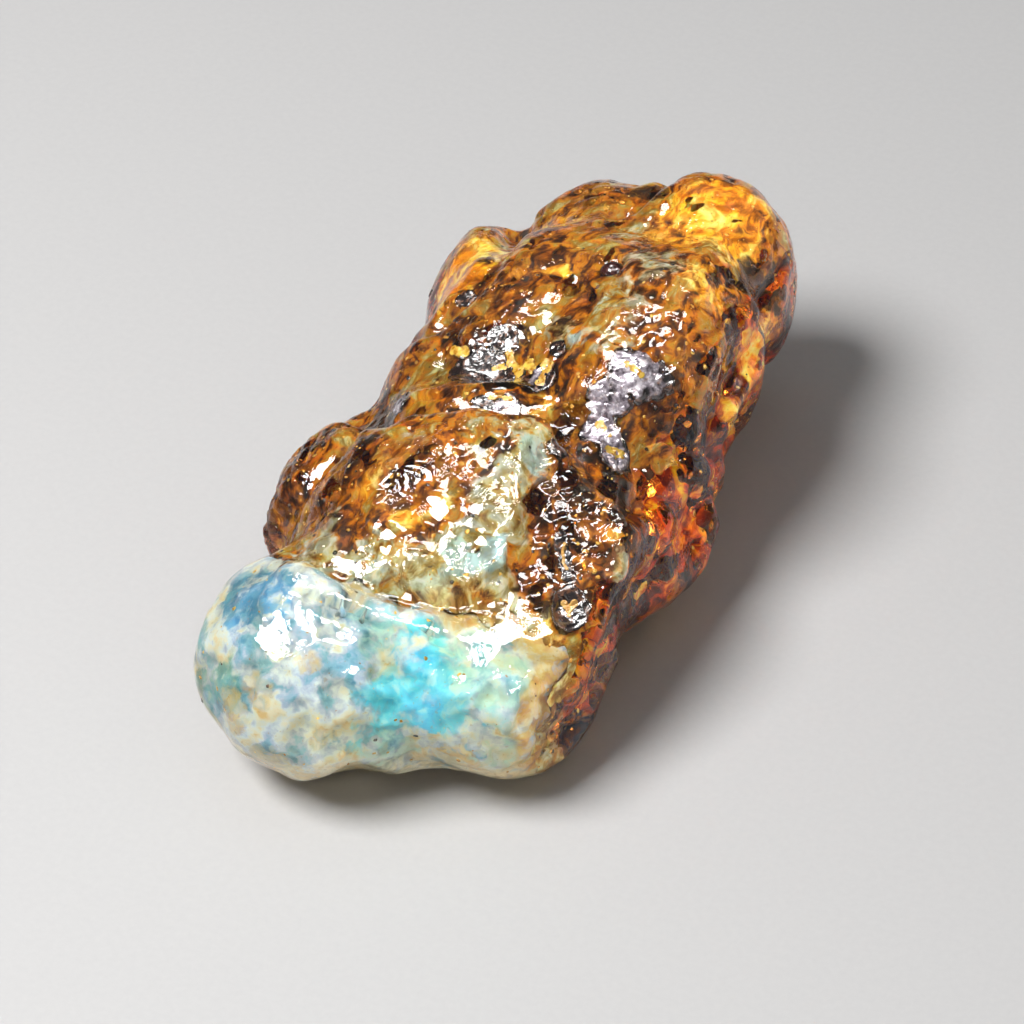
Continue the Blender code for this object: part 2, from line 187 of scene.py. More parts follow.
PATCHES: dict[Zone, tuple[Patch, ...]] = {
    Zone.YOLK: (
        *trail(0.30, (-2.1, 1.7, 14.9), (-1.5, 2.0, 15.1), (-1.1, 2.2, 15.3), (-0.4, 1.7, 15.5),
               (-0.1, 0.9, 15.4)),
        *trail(0.28, (-1.1, 2.2, 15.3), (-1.5, 2.7, 15.6)),
        *trail(0.34, (0.0, 2.0, 15.8), (0.5, 1.6, 15.8)),
        *trail(0.36, (1.3, 2.1, 16.3), (1.5, 1.6, 16.1), (1.5, 0.8, 15.7)),
        *trail(0.34, (-5.1, 2.2, 15.0), (-4.3, 1.9, 15.4)),
        *trail(0.18, (-0.6, -2.1, 15.9), (0.6, -1.8, 16.0)),
        *trail(0.30, (6.6, 2.2, 17.8), (7.0, 2.2, 17.7), (7.7, 2.1, 17.4)),
        *trail(0.38, (6.2, -0.7, 15.1), (6.8, -0.9, 14.7)),
        *trail(0.34, (7.2, -1.8, 14.2), (7.8, -1.3, 13.7)),
        *trail(0.20, (0.2, -5.2, 17.5), (0.6, -5.0, 17.4)),
        *patches(
            (-0.6, 1.7, 15.4, 0.46), (0.1, 2.0, 15.8, 0.48), (-0.2, 1.2, 15.4, 0.36),
            (1.4, 1.9, 16.2, 0.55)),
    ),
    Zone.HEART: (
        *trail(0.26, (9.35, -12.85, 11.3), (9.7, -13.0, 11.05)),
        *trail(0.26, (9.85, -12.6, 11.3), (9.7, -13.0, 11.05)),
        *trail(0.17, (9.7, -13.0, 11.0), (9.8, -13.2, 10.8)),
    ),
    Zone.CREAM: (
        *trail(0.11, (8.1, -10.1, 13.4), (8.1, -10.4, 13.1), (8.3, -10.7, 12.8), (8.4, -11.0, 12.7),
               (8.8, -11.3, 12.6), spacing=0.1),
    ),
    Zone.LIP: (
        *trail(1.3, (-4.6, -20.2, 14.4), (-3.3, -20.4, 14.3), (-2.1, -20.0, 13.8), (-1.0, -19.5, 13.1),
               (0.3, -19.8, 13.1), (1.4, -20.0, 12.8), (2.5, -19.6, 12.7), (3.9, -19.0, 12.3)),
    ),
    Zone.CYAN: patches(
        (4.2, -21.5, 10.4, 2.6), (3.2, -22.8, 9.0, 2.3), (5.6, -21.9, 8.8, 2.2),
        (0.6, -20.0, 12.9, 1.5, 0.8), (3.4, -19.6, 12.4, 1.7, 0.9), (7.2, -20.6, 8.0, 1.6, 0.7),
        (1.6, -24.2, 7.0, 1.6, 0.7)),
    Zone.BLUE: patches(
        (-8.7, -20.7, 12.1, 2.3), (-6.0, -21.4, 13.5, 2.0), (-7.5, -22.6, 12.2, 1.6, 0.9),
        (-1.6, -21.4, 12.9, 1.6, 0.6), (2.0, -20.8, 12.0, 1.5, 0.6), (-5.6, -24.8, 11.4, 1.2, 0.5),
        (0.3, -25.2, 6.8, 1.5, 0.6), (-11.0, -20.5, 8.0, 2.0, 0.6)),
    Zone.TEAL: patches(
        (-7.2, -25.6, 8.8, 2.0), (-9.2, -24.3, 6.4, 2.0), (-10.0, -22.8, 9.2, 1.6, 0.8),
        (0.6, -22.4, 11.2, 1.2, 0.6), (4.6, -23.0, 7.0, 1.5, 0.6), (9.2, -20.4, 7.0, 1.6, 0.5)),
    Zone.SAND: patches(
        (-4.5, -26.1, 9.6, 1.3, 0.9), (-6.0, -26.2, 7.6, 1.8, 0.9), (-0.6, -26.3, 7.2, 0.9),
        (-1.9, -24.4, 11.6, 0.9, 0.7), (-3.2, -26.6, 4.6, 2.6, 0.7), (6.6, -22.0, 4.6, 2.6, 0.7),
        (9.4, -19.6, 7.2, 1.3, 0.8), (10.4, -17.6, 5.6, 2.0, 0.8), (1.6, -22.6, 10.9, 0.7, 0.7),
        (-9.0, -25.2, 4.0, 2.0, 0.6), (-7.4, -24.5, 11.4, 0.8, 0.6)),
    Zone.PALE: patches(
        (4.3, -8.4, 16.6, 1.9), (4.0, -10.5, 15.8, 2.0), (3.9, -13.2, 14.6, 2.1), (5.6, -11.3, 14.9, 1.2),
        (2.8, -15.2, 14.3, 2.2), (5.9, -14.6, 13.4, 1.7), (3.4, -4.9, 17.6, 1.8, 0.7),
        (0.7, -6.3, 17.7, 1.8, 0.6), (0.3, -16.7, 14.5, 2.0, 0.9), (-1.5, -17.1, 14.1, 2.0, 0.9),
        (-5.7, -14.1, 13.5, 1.4, 0.7), (-4.9, -17.0, 13.4, 1.8, 0.9), (1.1, 4.5, 17.1, 1.5, 0.6),
        (4.2, 7.0, 18.5, 2.2, 0.6), (4.5, 11.0, 18.5, 2.6, 0.6), (1.4, 15.6, 17.1, 2.4, 0.5),
        (5.2, 4.0, 18.3, 1.6, 0.6), (11.3, -9.0, 12.2, 1.2, 0.9), (-2.6, -9.0, 16.6, 1.2, 0.5),
        (7.6, -15.4, 12.0, 1.6, 0.6), (-7.2, -9.6, 13.4, 1.2, 0.5)),
    Zone.AQUA: patches(
        (4.6, -6.4, 16.6, 1.1), (5.1, -7.4, 15.8, 0.9, 0.8), (5.0, -13.5, 14.2, 1.5),
        (3.4, -14.6, 14.2, 1.5, 0.9), (3.0, -17.2, 13.4, 1.4, 0.7), (-1.2, -17.9, 13.8, 1.2, 0.6),
        (-6.4, -16.0, 12.8, 1.0, 0.6), (2.4, 4.0, 17.8, 0.9, 0.7), (-3.4, -4.6, 15.6, 0.9, 0.5),
        (8.0, -19.6, 9.4, 2.8, 0.95), (6.1, -19.0, 11.4, 1.8, 0.9), (0.6, -20.6, 12.7, 2.0, 0.8),
        (3.4, -24.0, 4.8, 2.2, 0.8), (8.6, -20.4, 5.2, 1.8, 0.7)),
    Zone.GOLD: patches(
        (1.0, -12.6, 15.9, 1.0), (-0.6, -13.9, 15.6, 1.0, 0.8), (-3.7, -11.3, 16.0, 2.2, 0.6),
        (5.1, 20.3, 17.7, 3.4), (3.9, 16.7, 17.4, 2.6, 0.7), (7.2, 18.0, 17.0, 2.6, 0.8),
        (-8.5, 10.2, 14.0, 3.2), (-8.3, 13.2, 13.8, 2.6, 0.8), (-1.2, 9.8, 17.5, 1.0),
        (-4.6, 17.0, 15.3, 2.2, 0.6), (8.0, 11.0, 18.2, 2.2, 0.7), (4.4, -15.9, 12.8, 1.2, 0.5),
        (9.6, -14.6, 11.0, 1.4, 0.7), (10.4, -16.6, 7.6, 2.0, 0.7), (-10.4, -9.0, 11.4, 1.6, 0.5),
        (3.6, -17.6, 13.0, 1.2, 0.6), (2.4, -0.8, 16.4, 1.4, 0.6), (10.4, -8.0, 13.4, 0.9, 0.8),
        # Painted glow: these patches high on the right flank are bright gold to stand in for light shining
        # out through the clear amber there.
        (11.5, 12.2, 12.6, 2.4, 0.7), (11.8, 8.4, 11.0, 2.0, 0.7), (11.0, 17.0, 12.0, 2.6, 0.7),
        (11.8, 3.4, 9.0, 1.4, 0.6), (11.4, -6.0, 7.6, 1.2, 0.6)),
    Zone.BROWN: patches(
        (6.7, -7.9, 14.7, 2.4), (8.5, -7.4, 14.2, 2.6), (8.0, -9.6, 13.7, 2.2), (10.0, -9.3, 13.0, 1.8),
        (6.6, -5.8, 15.4, 1.6), (9.2, -12.0, 12.0, 2.0), (-2.2, -12.0, 15.8, 1.8),
        (-10.0, -8.0, 9.0, 4.0, 0.9), (-8.0, -4.6, 13.0, 2.2, 0.8), (-3.4, 6.6, 17.0, 2.4, 0.8),
        (-5.2, 3.4, 15.6, 2.4, 0.8), (-3.6, 8.8, 17.3, 1.8, 0.7), (5.0, -0.6, 15.6, 2.0, 0.8),
        (9.0, 2.6, 15.8, 2.2, 0.8), (9.6, 6.0, 17.0, 1.8, 0.8), (-3.0, 20.0, 15.6, 2.2, 0.7),
        (9.2, -3.0, 12.8, 2.2, 0.9), (7.4, -13.0, 12.2, 1.4, 0.7), (2.2, -3.6, 16.4, 1.2, 0.7),
        (-4.8, -9.4, 15.8, 1.2, 0.6), (-6.6, -10.8, 14.6, 2.6, 0.8), (-7.1, -13.2, 13.2, 2.2, 0.8),
        (-2.7, -10.2, 16.6, 1.8, 0.7), (0.6, -10.0, 16.8, 1.6, 0.6)),
    Zone.DARK: patches(
        (5.6, -5.0, 16.0, 0.9), (9.2, -4.0, 13.4, 1.5), (10.0, -6.4, 13.0, 1.2, 0.9),
        (-7.6, -2.7, 12.1, 1.8), (-2.4, -11.6, 15.9, 0.8, 0.8), (9.3, 16.6, 15.0, 2.0, 0.9),
        (9.9, 19.0, 13.2, 1.8, 0.9), (-0.5, 21.9, 15.9, 1.3), (-7.4, 11.4, 14.8, 0.9, 0.8),
        (7.6, -11.4, 13.0, 0.8, 0.8), (0.4, 20.2, 16.2, 0.9, 0.8), (8.8, -14.0, 11.6, 0.8, 0.7),
        (-1.4, 3.4, 16.6, 1.3, 0.8)),
    Zone.CRUST: (
        *trail(0.42, (7.8, -9.9, 13.8), (7.9, -10.3, 13.4), (8.3, -10.5, 12.9), (8.5, -11.1, 12.6),
               (9.0, -11.6, 12.5)),
        *trail(0.42, (10.5, -12.6, 11.1), (10.0, -12.3, 11.6), (9.4, -12.4, 11.9), (9.0, -12.9, 11.8),
               (9.0, -13.4, 11.2), (9.5, -14.1, 10.9), (10.2, -14.1, 10.7), (10.5, -13.4, 10.7),
               (10.5, -12.6, 11.1)),
        *patches(
            # The two small patches near y -2.5 lie in the narrow valley behind the hump: their black crust is
            # partly real and partly painted shade in that valley.
            (-2.7, 0.9, 14.8, 1.9), (-1.2, 0.8, 15.2, 1.6), (-1.0, -2.6, 15.6, 0.9, 0.8),
            (0.6, -2.4, 15.5, 0.9, 0.8), (1.4, 1.2, 15.9, 1.1), (7.0, 2.2, 17.5, 1.9),
            (8.0, 2.4, 16.6, 1.5), (6.3, 0.4, 16.2, 1.5), (6.5, -0.9, 14.9, 1.4), (7.5, -1.6, 13.9, 1.3),
            (-6.7, -2.4, 13.8, 0.9, 0.9), (-6.8, 7.3, 15.0, 0.7), (-2.2, 3.3, 16.3, 1.0, 0.9),
            (1.4, 2.9, 17.2, 0.6, 0.9), (9.6, -12.8, 11.2, 0.8), (9.8, -13.4, 10.8, 0.7),
            (5.4, -5.1, 16.1, 0.8)),
    ),
    # Painted reflection: where the crust is coloured light grey-lilac and made partly metallic, to stand in
    # for a silvery sheen.
    Zone.PAINTED_SILVER_SHEEN: patches(
        (7.2, 2.4, 17.4, 2.0), (8.0, 2.0, 16.6, 1.5, 0.9), (6.2, 0.6, 16.3, 1.5), (6.6, -1.0, 14.8, 1.5),
        (7.6, -1.7, 13.8, 1.2), (0.6, -2.5, 15.5, 0.9), (1.4, 1.2, 15.9, 0.9, 0.8),
        (-6.8, -2.5, 13.7, 0.9, 0.8)),
    Zone.CLEAR: patches(
        (11.6, -1.5, 7.5, 6.0), (11.8, 4.0, 8.0, 6.5), (11.0, 11.0, 9.0, 7.0), (9.0, 20.0, 8.0, 6.5),
        (11.6, -8.0, 7.5, 5.0), (11.6, -13.5, 5.0, 3.6), (-10.5, -8.0, 6.0, 4.5, 0.7),
        (-9.0, 14.0, 6.0, 7.0, 0.8), (-10.0, 5.0, 6.0, 5.5, 0.7), (2.0, 26.0, 8.0, 7.0, 0.8),
        (10.4, 7.4, 14.4, 2.4), (10.9, 13.0, 13.4, 2.8), (8.4, 10.0, 15.6, 1.6, 0.6)),
    Zone.BEADS: patches(
        (5.1, 4.5, 18.4, 2.4), (7.0, 5.4, 18.4, 2.6), (8.2, 3.6, 17.7, 2.2), (7.0, 1.8, 17.4, 2.0),
        (-1.9, 3.8, 16.6, 1.8), (6.6, -1.0, 14.9, 2.2), (-0.4, 0.4, 15.8, 1.8),
        (6.5, -18.5, 11.4, 2.0, 0.5), (3.4, -18.8, 12.4, 1.6, 0.4), (-7.2, -2.6, 13.0, 1.8, 0.8),
        (1.0, -17.4, 13.6, 1.8, 0.7), (-1.8, -15.8, 14.7, 1.8, 0.8), (-5.4, -15.4, 13.4, 2.0, 0.8),
        (1.0, -12.8, 15.7, 1.6, 0.7), (4.4, -13.4, 14.4, 1.6, 0.6)),
}


@dataclass
class Ground:
    """Reads which kinds of ground each place on the skin has."""

    skin_map: SkinMap
    milk_edge: tuple[tuple[float, float], ...] = (
        (-12.5, -17.0), (-7.0, -17.9), (-2.7, -19.0), (1.0, -18.2), (4.5, -17.0), (8.0, -16.2), (12.5, -16.0))
    milk_side: float = 10.4
    edge_wave: float = 2.4 * MM
    settled: dict[Zone, list[Patch]] = field(init=False)

    def __post_init__(self) -> None:
        """Settles every patch on the skin."""
        self.settled = {zone: [patch.settled(self.skin_map) for patch in given]
                        for zone, given in PATCHES.items()}

    def weights(self, points: np.ndarray) -> dict[Zone, np.ndarray]:
        """The weight of every zone at each place, from 0 to 1.

        Args:
            points: The places, one a row.

        Returns:
            For each zone, one weight for each place.
        """
        ragged = waves(points, self.edge_wave, 4, 3.1)
        found = {zone: np.zeros(len(points)) for zone in Zone}
        for zone, given in self.settled.items():
            for patch in given:
                found[zone] = np.maximum(found[zone], patch.weight(points, ragged))
        inside = self.inside_milk(points / MM)
        found[Zone.MILK] = smooth(-0.5, 0.5, inside + 1.1 * ragged)
        off_edge = np.where(inside > 0, inside * 1.7, -inside)
        found[Zone.FRINGE] = (1 - smooth(0.3, 2.6, off_edge)) * smooth(-9.0, 5.0, points[:, 0] / MM)
        found[Zone.RIM] = (1 - smooth(3.0, 7.5, points[:, 2] / MM + 2.0 * ragged)) * found[Zone.MILK]
        found[Zone.CLEAR] *= 1 - found[Zone.MILK]
        return found

    def inside_milk(self, spots: np.ndarray) -> np.ndarray:
        """How far each spot is inside the milky blue end, in millimetres, below 0 outside it."""
        across, along = zip(*self.milk_edge)
        edge = np.interp(spots[:, 0], across, along)
        return np.minimum(edge - spots[:, 1], (self.milk_side - spots[:, 0]) * 1.2)


def mesh_arrays(mesh: bpy.types.Mesh) -> tuple[np.ndarray, np.ndarray]:
    """A mesh's places and triangles.

    Args:
        mesh: The mesh to read.

    Returns:
        Its vertices, one a row, and its triangles as rows of vertex numbers.
    """
    places = np.empty(len(mesh.vertices) * 3)
    mesh.vertices.foreach_get("co", places)
    mesh.calc_loop_triangles()
    corners = np.empty(len(mesh.loop_triangles) * 3, int)
    mesh.loop_triangles.foreach_get("vertices", corners)
    return places.reshape(-1, 3), corners.reshape(-1, 3)


def mesh_normals(mesh: bpy.types.Mesh) -> np.ndarray:
    """A mesh's vertex normals, one a row."""
    normals = np.empty(len(mesh.vertices) * 3)
    mesh.vertex_normals.foreach_get("vector", normals)
    return normals.reshape(-1, 3)


def set_places(mesh: bpy.types.Mesh, places: np.ndarray) -> None:
    """Moves a mesh's vertices to new places."""
    mesh.vertices.foreach_set("co", np.ascontiguousarray(places, dtype=np.float32).ravel())
    mesh.update()


def set_weights(mesh: bpy.types.Mesh, weights: dict[str, np.ndarray]) -> None:
    """Keeps named values, one for each vertex, on a mesh."""
    for name, values in weights.items():
        kept = mesh.attributes.new(name, "FLOAT", "POINT")
        kept.data.foreach_set("value", np.ascontiguousarray(values, dtype=np.float32))


def weight_on(mesh: bpy.types.Mesh, zone: Zone) -> np.ndarray:
    """The weight of a zone that a mesh keeps for each vertex."""
    weight = np.empty(len(mesh.vertices), dtype=np.float32)
    mesh.attributes[zone.value].data.foreach_get("value", weight)
    return weight


def object_of(name: str, mesh: bpy.types.Mesh) -> bpy.types.Object:
    """A new object of a mesh, in the scene."""
    made = bpy.data.objects.new(name, mesh)
    bpy.context.scene.collection.objects.link(made)
    return made


def worked_in(made: bpy.types.Object) -> bpy.types.Mesh:
    """An object's mesh with its modifiers worked in. The object is then removed."""
    graph = bpy.context.evaluated_depsgraph_get()
    mesh = bpy.data.meshes.new_from_object(made.evaluated_get(graph))
    bpy.data.objects.remove(made)
    return mesh


def dressed(name: str, mesh: bpy.types.Mesh, finish: bpy.types.Material) -> bpy.types.Object:
    """A smooth-shaded piece of a mesh with one finish.

    Args:
        name: The piece's name.
        mesh: Its mesh.
        finish: The only material that it keeps.

    Returns:
        The piece, in the scene.
    """
    mesh.shade_smooth()
    mesh.materials.clear()
    mesh.materials.append(finish)
    return object_of(name, mesh)


def thickened(sheet: bpy.types.Mesh, thickness: float) -> bpy.types.Mesh:
    """A sheet made a closed shell by a second side, deeper by a thickness."""
    clay = object_of("clay", sheet)
    thick = clay.modifiers.new("thick", "SOLIDIFY")
    thick.thickness = thickness
    thick.offset = -1.0
    return worked_in(clay)


@dataclass(frozen=True)
class Cutter:
    """Cuts out the part of a mesh where a level is above 0, along the line where it is 0."""

    least_faces: int = 40

    def cut(self, places: np.ndarray, triangles: np.ndarray, level: np.ndarray,
            weights: dict[Zone, np.ndarray]) -> bpy.types.Mesh:
        """Makes the cut.

        Args:
            places: The mesh's vertices, one a row.
            triangles: Its triangles, as rows of vertex numbers.
            level: One value for each vertex.
            weights: Values that the cut-out mesh keeps for its vertices.

        Returns:
            The cut-out sheet, with its small scraps dropped.
        """
        zones = list(weights)
        table = np.column_stack([places, level] + [weights[zone] for zone in zones])
        above = level > 0
        count = above[triangles].sum(axis=1)
        whole = [tuple(row) for row in triangles[count == 3].tolist()]
        crossed = triangles[(count == 1) | (count == 2)].tolist()
        rows, faces = self.split(table, above, crossed)
        table = np.asarray(rows)
        faces = self.without_scraps(whole + faces, len(table))
        used = np.unique(np.fromiter((corner for face in faces for corner in face), int))
        number = np.full(len(table), -1)
        number[used] = np.arange(len(used))
        mesh = bpy.data.meshes.new("cut_out")
        mesh.from_pydata(table[used, :3].tolist(), [], [number[list(face)].tolist() for face in faces])
        set_weights(mesh, {zone.value: table[used, 4 + i] for i, zone in enumerate(zones)})
        return mesh

    def split(self, table: np.ndarray, above: np.ndarray,
              crossed: list[list[int]]) -> tuple[list[np.ndarray], list[tuple[int, ...]]]:
        """Splits the triangles that the line crosses.

        Args:
            table: Each vertex's place, level and weights.
            above: Which vertices are above the line.
            crossed: The triangles with corners on both sides.

        Returns:
            The table's rows with the new vertices added, and the faces above the line.
        """
        rows, faces, made = list(table), [], {}

        def crossing(inside: int, outside: int) -> int:
            """The number of the new vertex where an edge crosses the line."""
            if (inside, outside) not in made:
                share = table[inside, 3] / (table[inside, 3] - table[outside, 3])
                rows.append(table[inside] + (table[outside] - table[inside]) * min(max(share, 0.08), 0.92))
                made[inside, outside] = len(rows) - 1
            return made[inside, outside]

        for corners in crossed:
            lone = next(i for i in range(3) if above[corners[i]] != above[corners[i - 1]]
                        and above[corners[i]] != above[corners[i - 2]])
            a, b, c = (corners[(lone + i) % 3] for i in range(3))
            if above[a]:
                faces.append((a, crossing(a, b), crossing(a, c)))
            else:
                faces.append((crossing(b, a), b, c, crossing(c, a)))
        return rows, faces

    def without_scraps(self, faces: list[tuple[int, ...]], vertices: int) -> list[tuple[int, ...]]:
        """The faces that belong to scraps of at least a few faces.

        Args:
            faces: All faces, as vertex numbers.
            vertices: How many vertices there are.

        Returns:
            The faces that are kept.
        """
        chief = list(range(vertices))

        def chief_of(vertex: int) -> int:
            """The vertex that stands for the whole scrap."""
            while chief[vertex] != vertex:
                chief[vertex] = chief[chief[vertex]]
                vertex = chief[vertex]
            return vertex

        for face in faces:
            first = chief_of(face[0])
            for corner in face[1:]:
                chief[chief_of(corner)] = first
        owners = [chief_of(face[0]) for face in faces]
        sizes = np.bincount(owners, minlength=vertices)
        return [face for face, owner in zip(faces, owners) if sizes[owner] >= self.least_faces]


@dataclass
class NuggetForm:
    """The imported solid's form, as even skins of small faces with its facets smoothed away."""

    node: bpy.types.Object
    joined: bpy.types.Mesh = field(init=False)

    def __post_init__(self) -> None:
        """Merges a copy of the solid's loose triangles into one closed mesh."""
        shell = bmesh.new()
        shell.from_mesh(self.node.data)
        shell.transform(self.node.matrix_world)
        bmesh.ops.remove_doubles(shell, verts=shell.verts, dist=0.001 * MM)
        self.joined = bpy.data.meshes.new("joined")
        shell.to_mesh(self.joined)
        shell.free()

    def skin(self, grain: float, smoothing: float, sunk: float = 0.0) -> bpy.types.Mesh:
        """The form's surface in even small faces.

        Args:
            grain: The size of a face.
            smoothing: The length over which edges are rounded off.
            sunk: How far inside the form's own surface the skin lies.

        Returns:
            A closed mesh.
        """
        clay = object_of("clay", self.joined.copy())
        if sunk:
            inward = clay.modifiers.new("inward", "DISPLACE")
            inward.mid_level = 0.0
            inward.strength = -sunk
        even = clay.modifiers.new("even", "REMESH")
        even.mode = "VOXEL"
        even.voxel_size = grain
        rounding = clay.modifiers.new("rounding", "SMOOTH")
        rounding.factor = 0.5
        rounding.iterations = max(1, round((smoothing / grain) ** 2))
        return worked_in(clay)


class SkinMap:
    """Finds the nearest place on the finished skin."""

    def __init__(self, skin: bpy.types.Mesh) -> None:
        """Takes the skin's faces."""
        places, triangles = mesh_arrays(skin)
        self.tree = BVHTree.FromPolygons(places.tolist(), triangles.tolist())

    def onto(self, spot: Spot, lift: float = 0.0) -> Vector:
        """The nearest place on the skin, raised along its normal.

        Args:
            spot: A spot near the skin, in millimetres.
            lift: How far above the skin the place is.

        Returns:
            The place, in metres.
        """
        hit, normal, _, _ = self.tree.find_nearest(Vector(spot) * MM)
        return hit + normal * lift

    def nearest(self, places: np.ndarray) -> tuple[np.ndarray, np.ndarray]:
        """The nearest place on the skin for each of many places.

        Args:
            places: The places, one a row.

        Returns:
            The nearest places on the skin and the skin's normals there.
        """
        found = [self.tree.find_nearest(place)[:2] for place in places.tolist()]
        return np.array([hit for hit, _ in found]), np.array([normal for _, normal in found])

    def kept_under(self, places: np.ndarray, least: float) -> np.ndarray:
        """Places moved inwards wherever they lie less than a depth under the skin."""
        hits, normals = self.nearest(places)
        depth = ((hits - places) * normals).sum(axis=1)
        return np.where((depth < least)[:, None], hits - normals * least, places)


class Graph:
    """Builds one tree of nodes, a node at a time."""

    def __init__(self, tree: bpy.types.NodeTree) -> None:
        """Starts on an empty tree."""
        self.tree = tree
        tree.nodes.clear()

    def node(self, kind: str, inputs: Inputs | None = None, **settings: object) -> Node:
        """Adds a node.

        Args:
            kind: The node's type.
            inputs: Links or plain values for its inputs, by name or number.
            settings: The node's own settings.

        Returns:
            The node.
        """
        made = self.tree.nodes.new(kind)
        for name, value in settings.items():
            setattr(made, name, value)
        self.fill(made, inputs or {})
        return made

    def fill(self, node: Node, inputs: Inputs) -> None:
        """Links a node's inputs to outputs, or sets them to plain values."""
        for name, value in inputs.items():
            socket = node.inputs[name]
            if isinstance(value, Socket):
                self.tree.links.new(value, socket)
            elif value is not None:
                socket.default_value = (*value, 1.0) if socket.type == "RGBA" and len(value) == 3 else value

    def place(self) -> Socket:
        """The place on the piece, in metres."""
        return self.node("ShaderNodeTexCoord").outputs["Object"]

    def weight(self, zone: Zone) -> Socket:
        """The weight of a zone that the piece's mesh keeps."""
        return self.node("ShaderNodeAttribute", attribute_name=zone.value).outputs["Fac"]

    def math(self, operation: str, first: object, second: object = None) -> Socket:
        """The result of a sum on one or two values."""
        return self.node("ShaderNodeMath", {0: first, 1: second}, operation=operation).outputs[0]

    def times(self, first: object, second: object) -> Socket:
        """Two values multiplied."""
        return self.math("MULTIPLY", first, second)

    def plus(self, *parts: tuple[object, float]) -> Socket:
        """The sum of values, each times its share."""
        total: Socket | None = None
        for value, share in parts:
            part = self.times(value, share)
            total = part if total is None else self.math("ADD", total, part)
        return total

    def step(self, value: object, low: float, high: float, to_low: float = 0.0,
             to_high: float = 1.0) -> Socket:
        """A soft step from to_low at low to to_high at high."""
        return self.node("ShaderNodeMapRange", {
            "Value": value, "From Min": low, "From Max": high, "To Min": to_low, "To Max": to_high},
            interpolation_type="SMOOTHSTEP").outputs[0]

    def mix(self, amount: object, under: object, over: object, blend: str = "MIX") -> Socket:
        """Two colours mixed."""
        return self.node("ShaderNodeMix", {0: amount, 6: under, 7: over},
                         data_type="RGBA", blend_type=blend).outputs[2]

    def ramp(self, value: object, stops: Stops) -> Socket:
        """A colour for each value, between the stops."""
        made = self.node("ShaderNodeValToRGB", {0: value})
        while len(made.color_ramp.elements) < len(stops):
            made.color_ramp.elements.new(1.0)
        for element, (at, tone) in zip(made.color_ramp.elements, stops):
            element.position = at
            element.color = (*shade(*tone), 1.0)
        return made.outputs[0]

    def stretched(self, vector: object, scale: Spot, turn: float) -> Socket:
        """Places turned about the upright and scaled."""
        return self.node("ShaderNodeMapping", {
            "Vector": vector, "Rotation": (0.0, 0.0, turn), "Scale": scale}).outputs[0]

    def pushed(self, vector: object, by: Socket, length: float) -> Socket:
        """Places pushed about by a colour."""
        return self.node("ShaderNodeVectorMath", {0: by, 1: (length,) * 3, 2: vector},
                         operation="MULTIPLY_ADD").outputs[0]

    def noise(self, vector: object, size: float, detail: float = 3.0, roughness: float = 0.5,
              distortion: float = 0.0) -> Node:
        """A noise whose broadest waves are about size long."""
        return self.node("ShaderNodeTexNoise", {
            "Vector": vector, "Scale": 1 / size, "Detail": detail, "Roughness": roughness,
            "Distortion": distortion})

    def cells(self, vector: object, size: float, softness: float = 0.0) -> Node:
        """Cells that are about size across, with soft edges if a softness is given."""
        soft = {"Smoothness": softness} if softness else {}
        return self.node("ShaderNodeTexVoronoi", {"Vector": vector, "Scale": 1 / size, **soft},
                         feature="SMOOTH_F1" if softness else "F1")

    def bump(self, height: object, distance: float) -> Socket:
        """A normal bent by a height."""
        return self.node("ShaderNodeBump", {"Height": height, "Distance": distance}).outputs[0]

    def group(self, tree: bpy.types.NodeTree, **inputs: object) -> Node:
        """A group of shared nodes, with its inputs given by name."""
        return self.node("ShaderNodeGroup", inputs, node_tree=tree)


def new_group(name: str, inputs: dict[str, str],
              outputs: dict[str, str]) -> tuple[Graph, Node, Node]:
    """An empty group of shader nodes.

    Args:
        name: The group's name.
        inputs: For each input, its kind of socket.
        outputs: For each output, its kind of socket.

    Returns:
        The group's graph, its input node and its output node.
    """
    tree = bpy.data.node_groups.new(name, "ShaderNodeTree")
    for direction, sockets in (("INPUT", inputs), ("OUTPUT", outputs)):
        for label, kind in sockets.items():
            tree.interface.new_socket(label, in_out=direction, socket_type=kind)
    graph = Graph(tree)
    return graph, graph.node("NodeGroupInput"), graph.node("NodeGroupOutput")


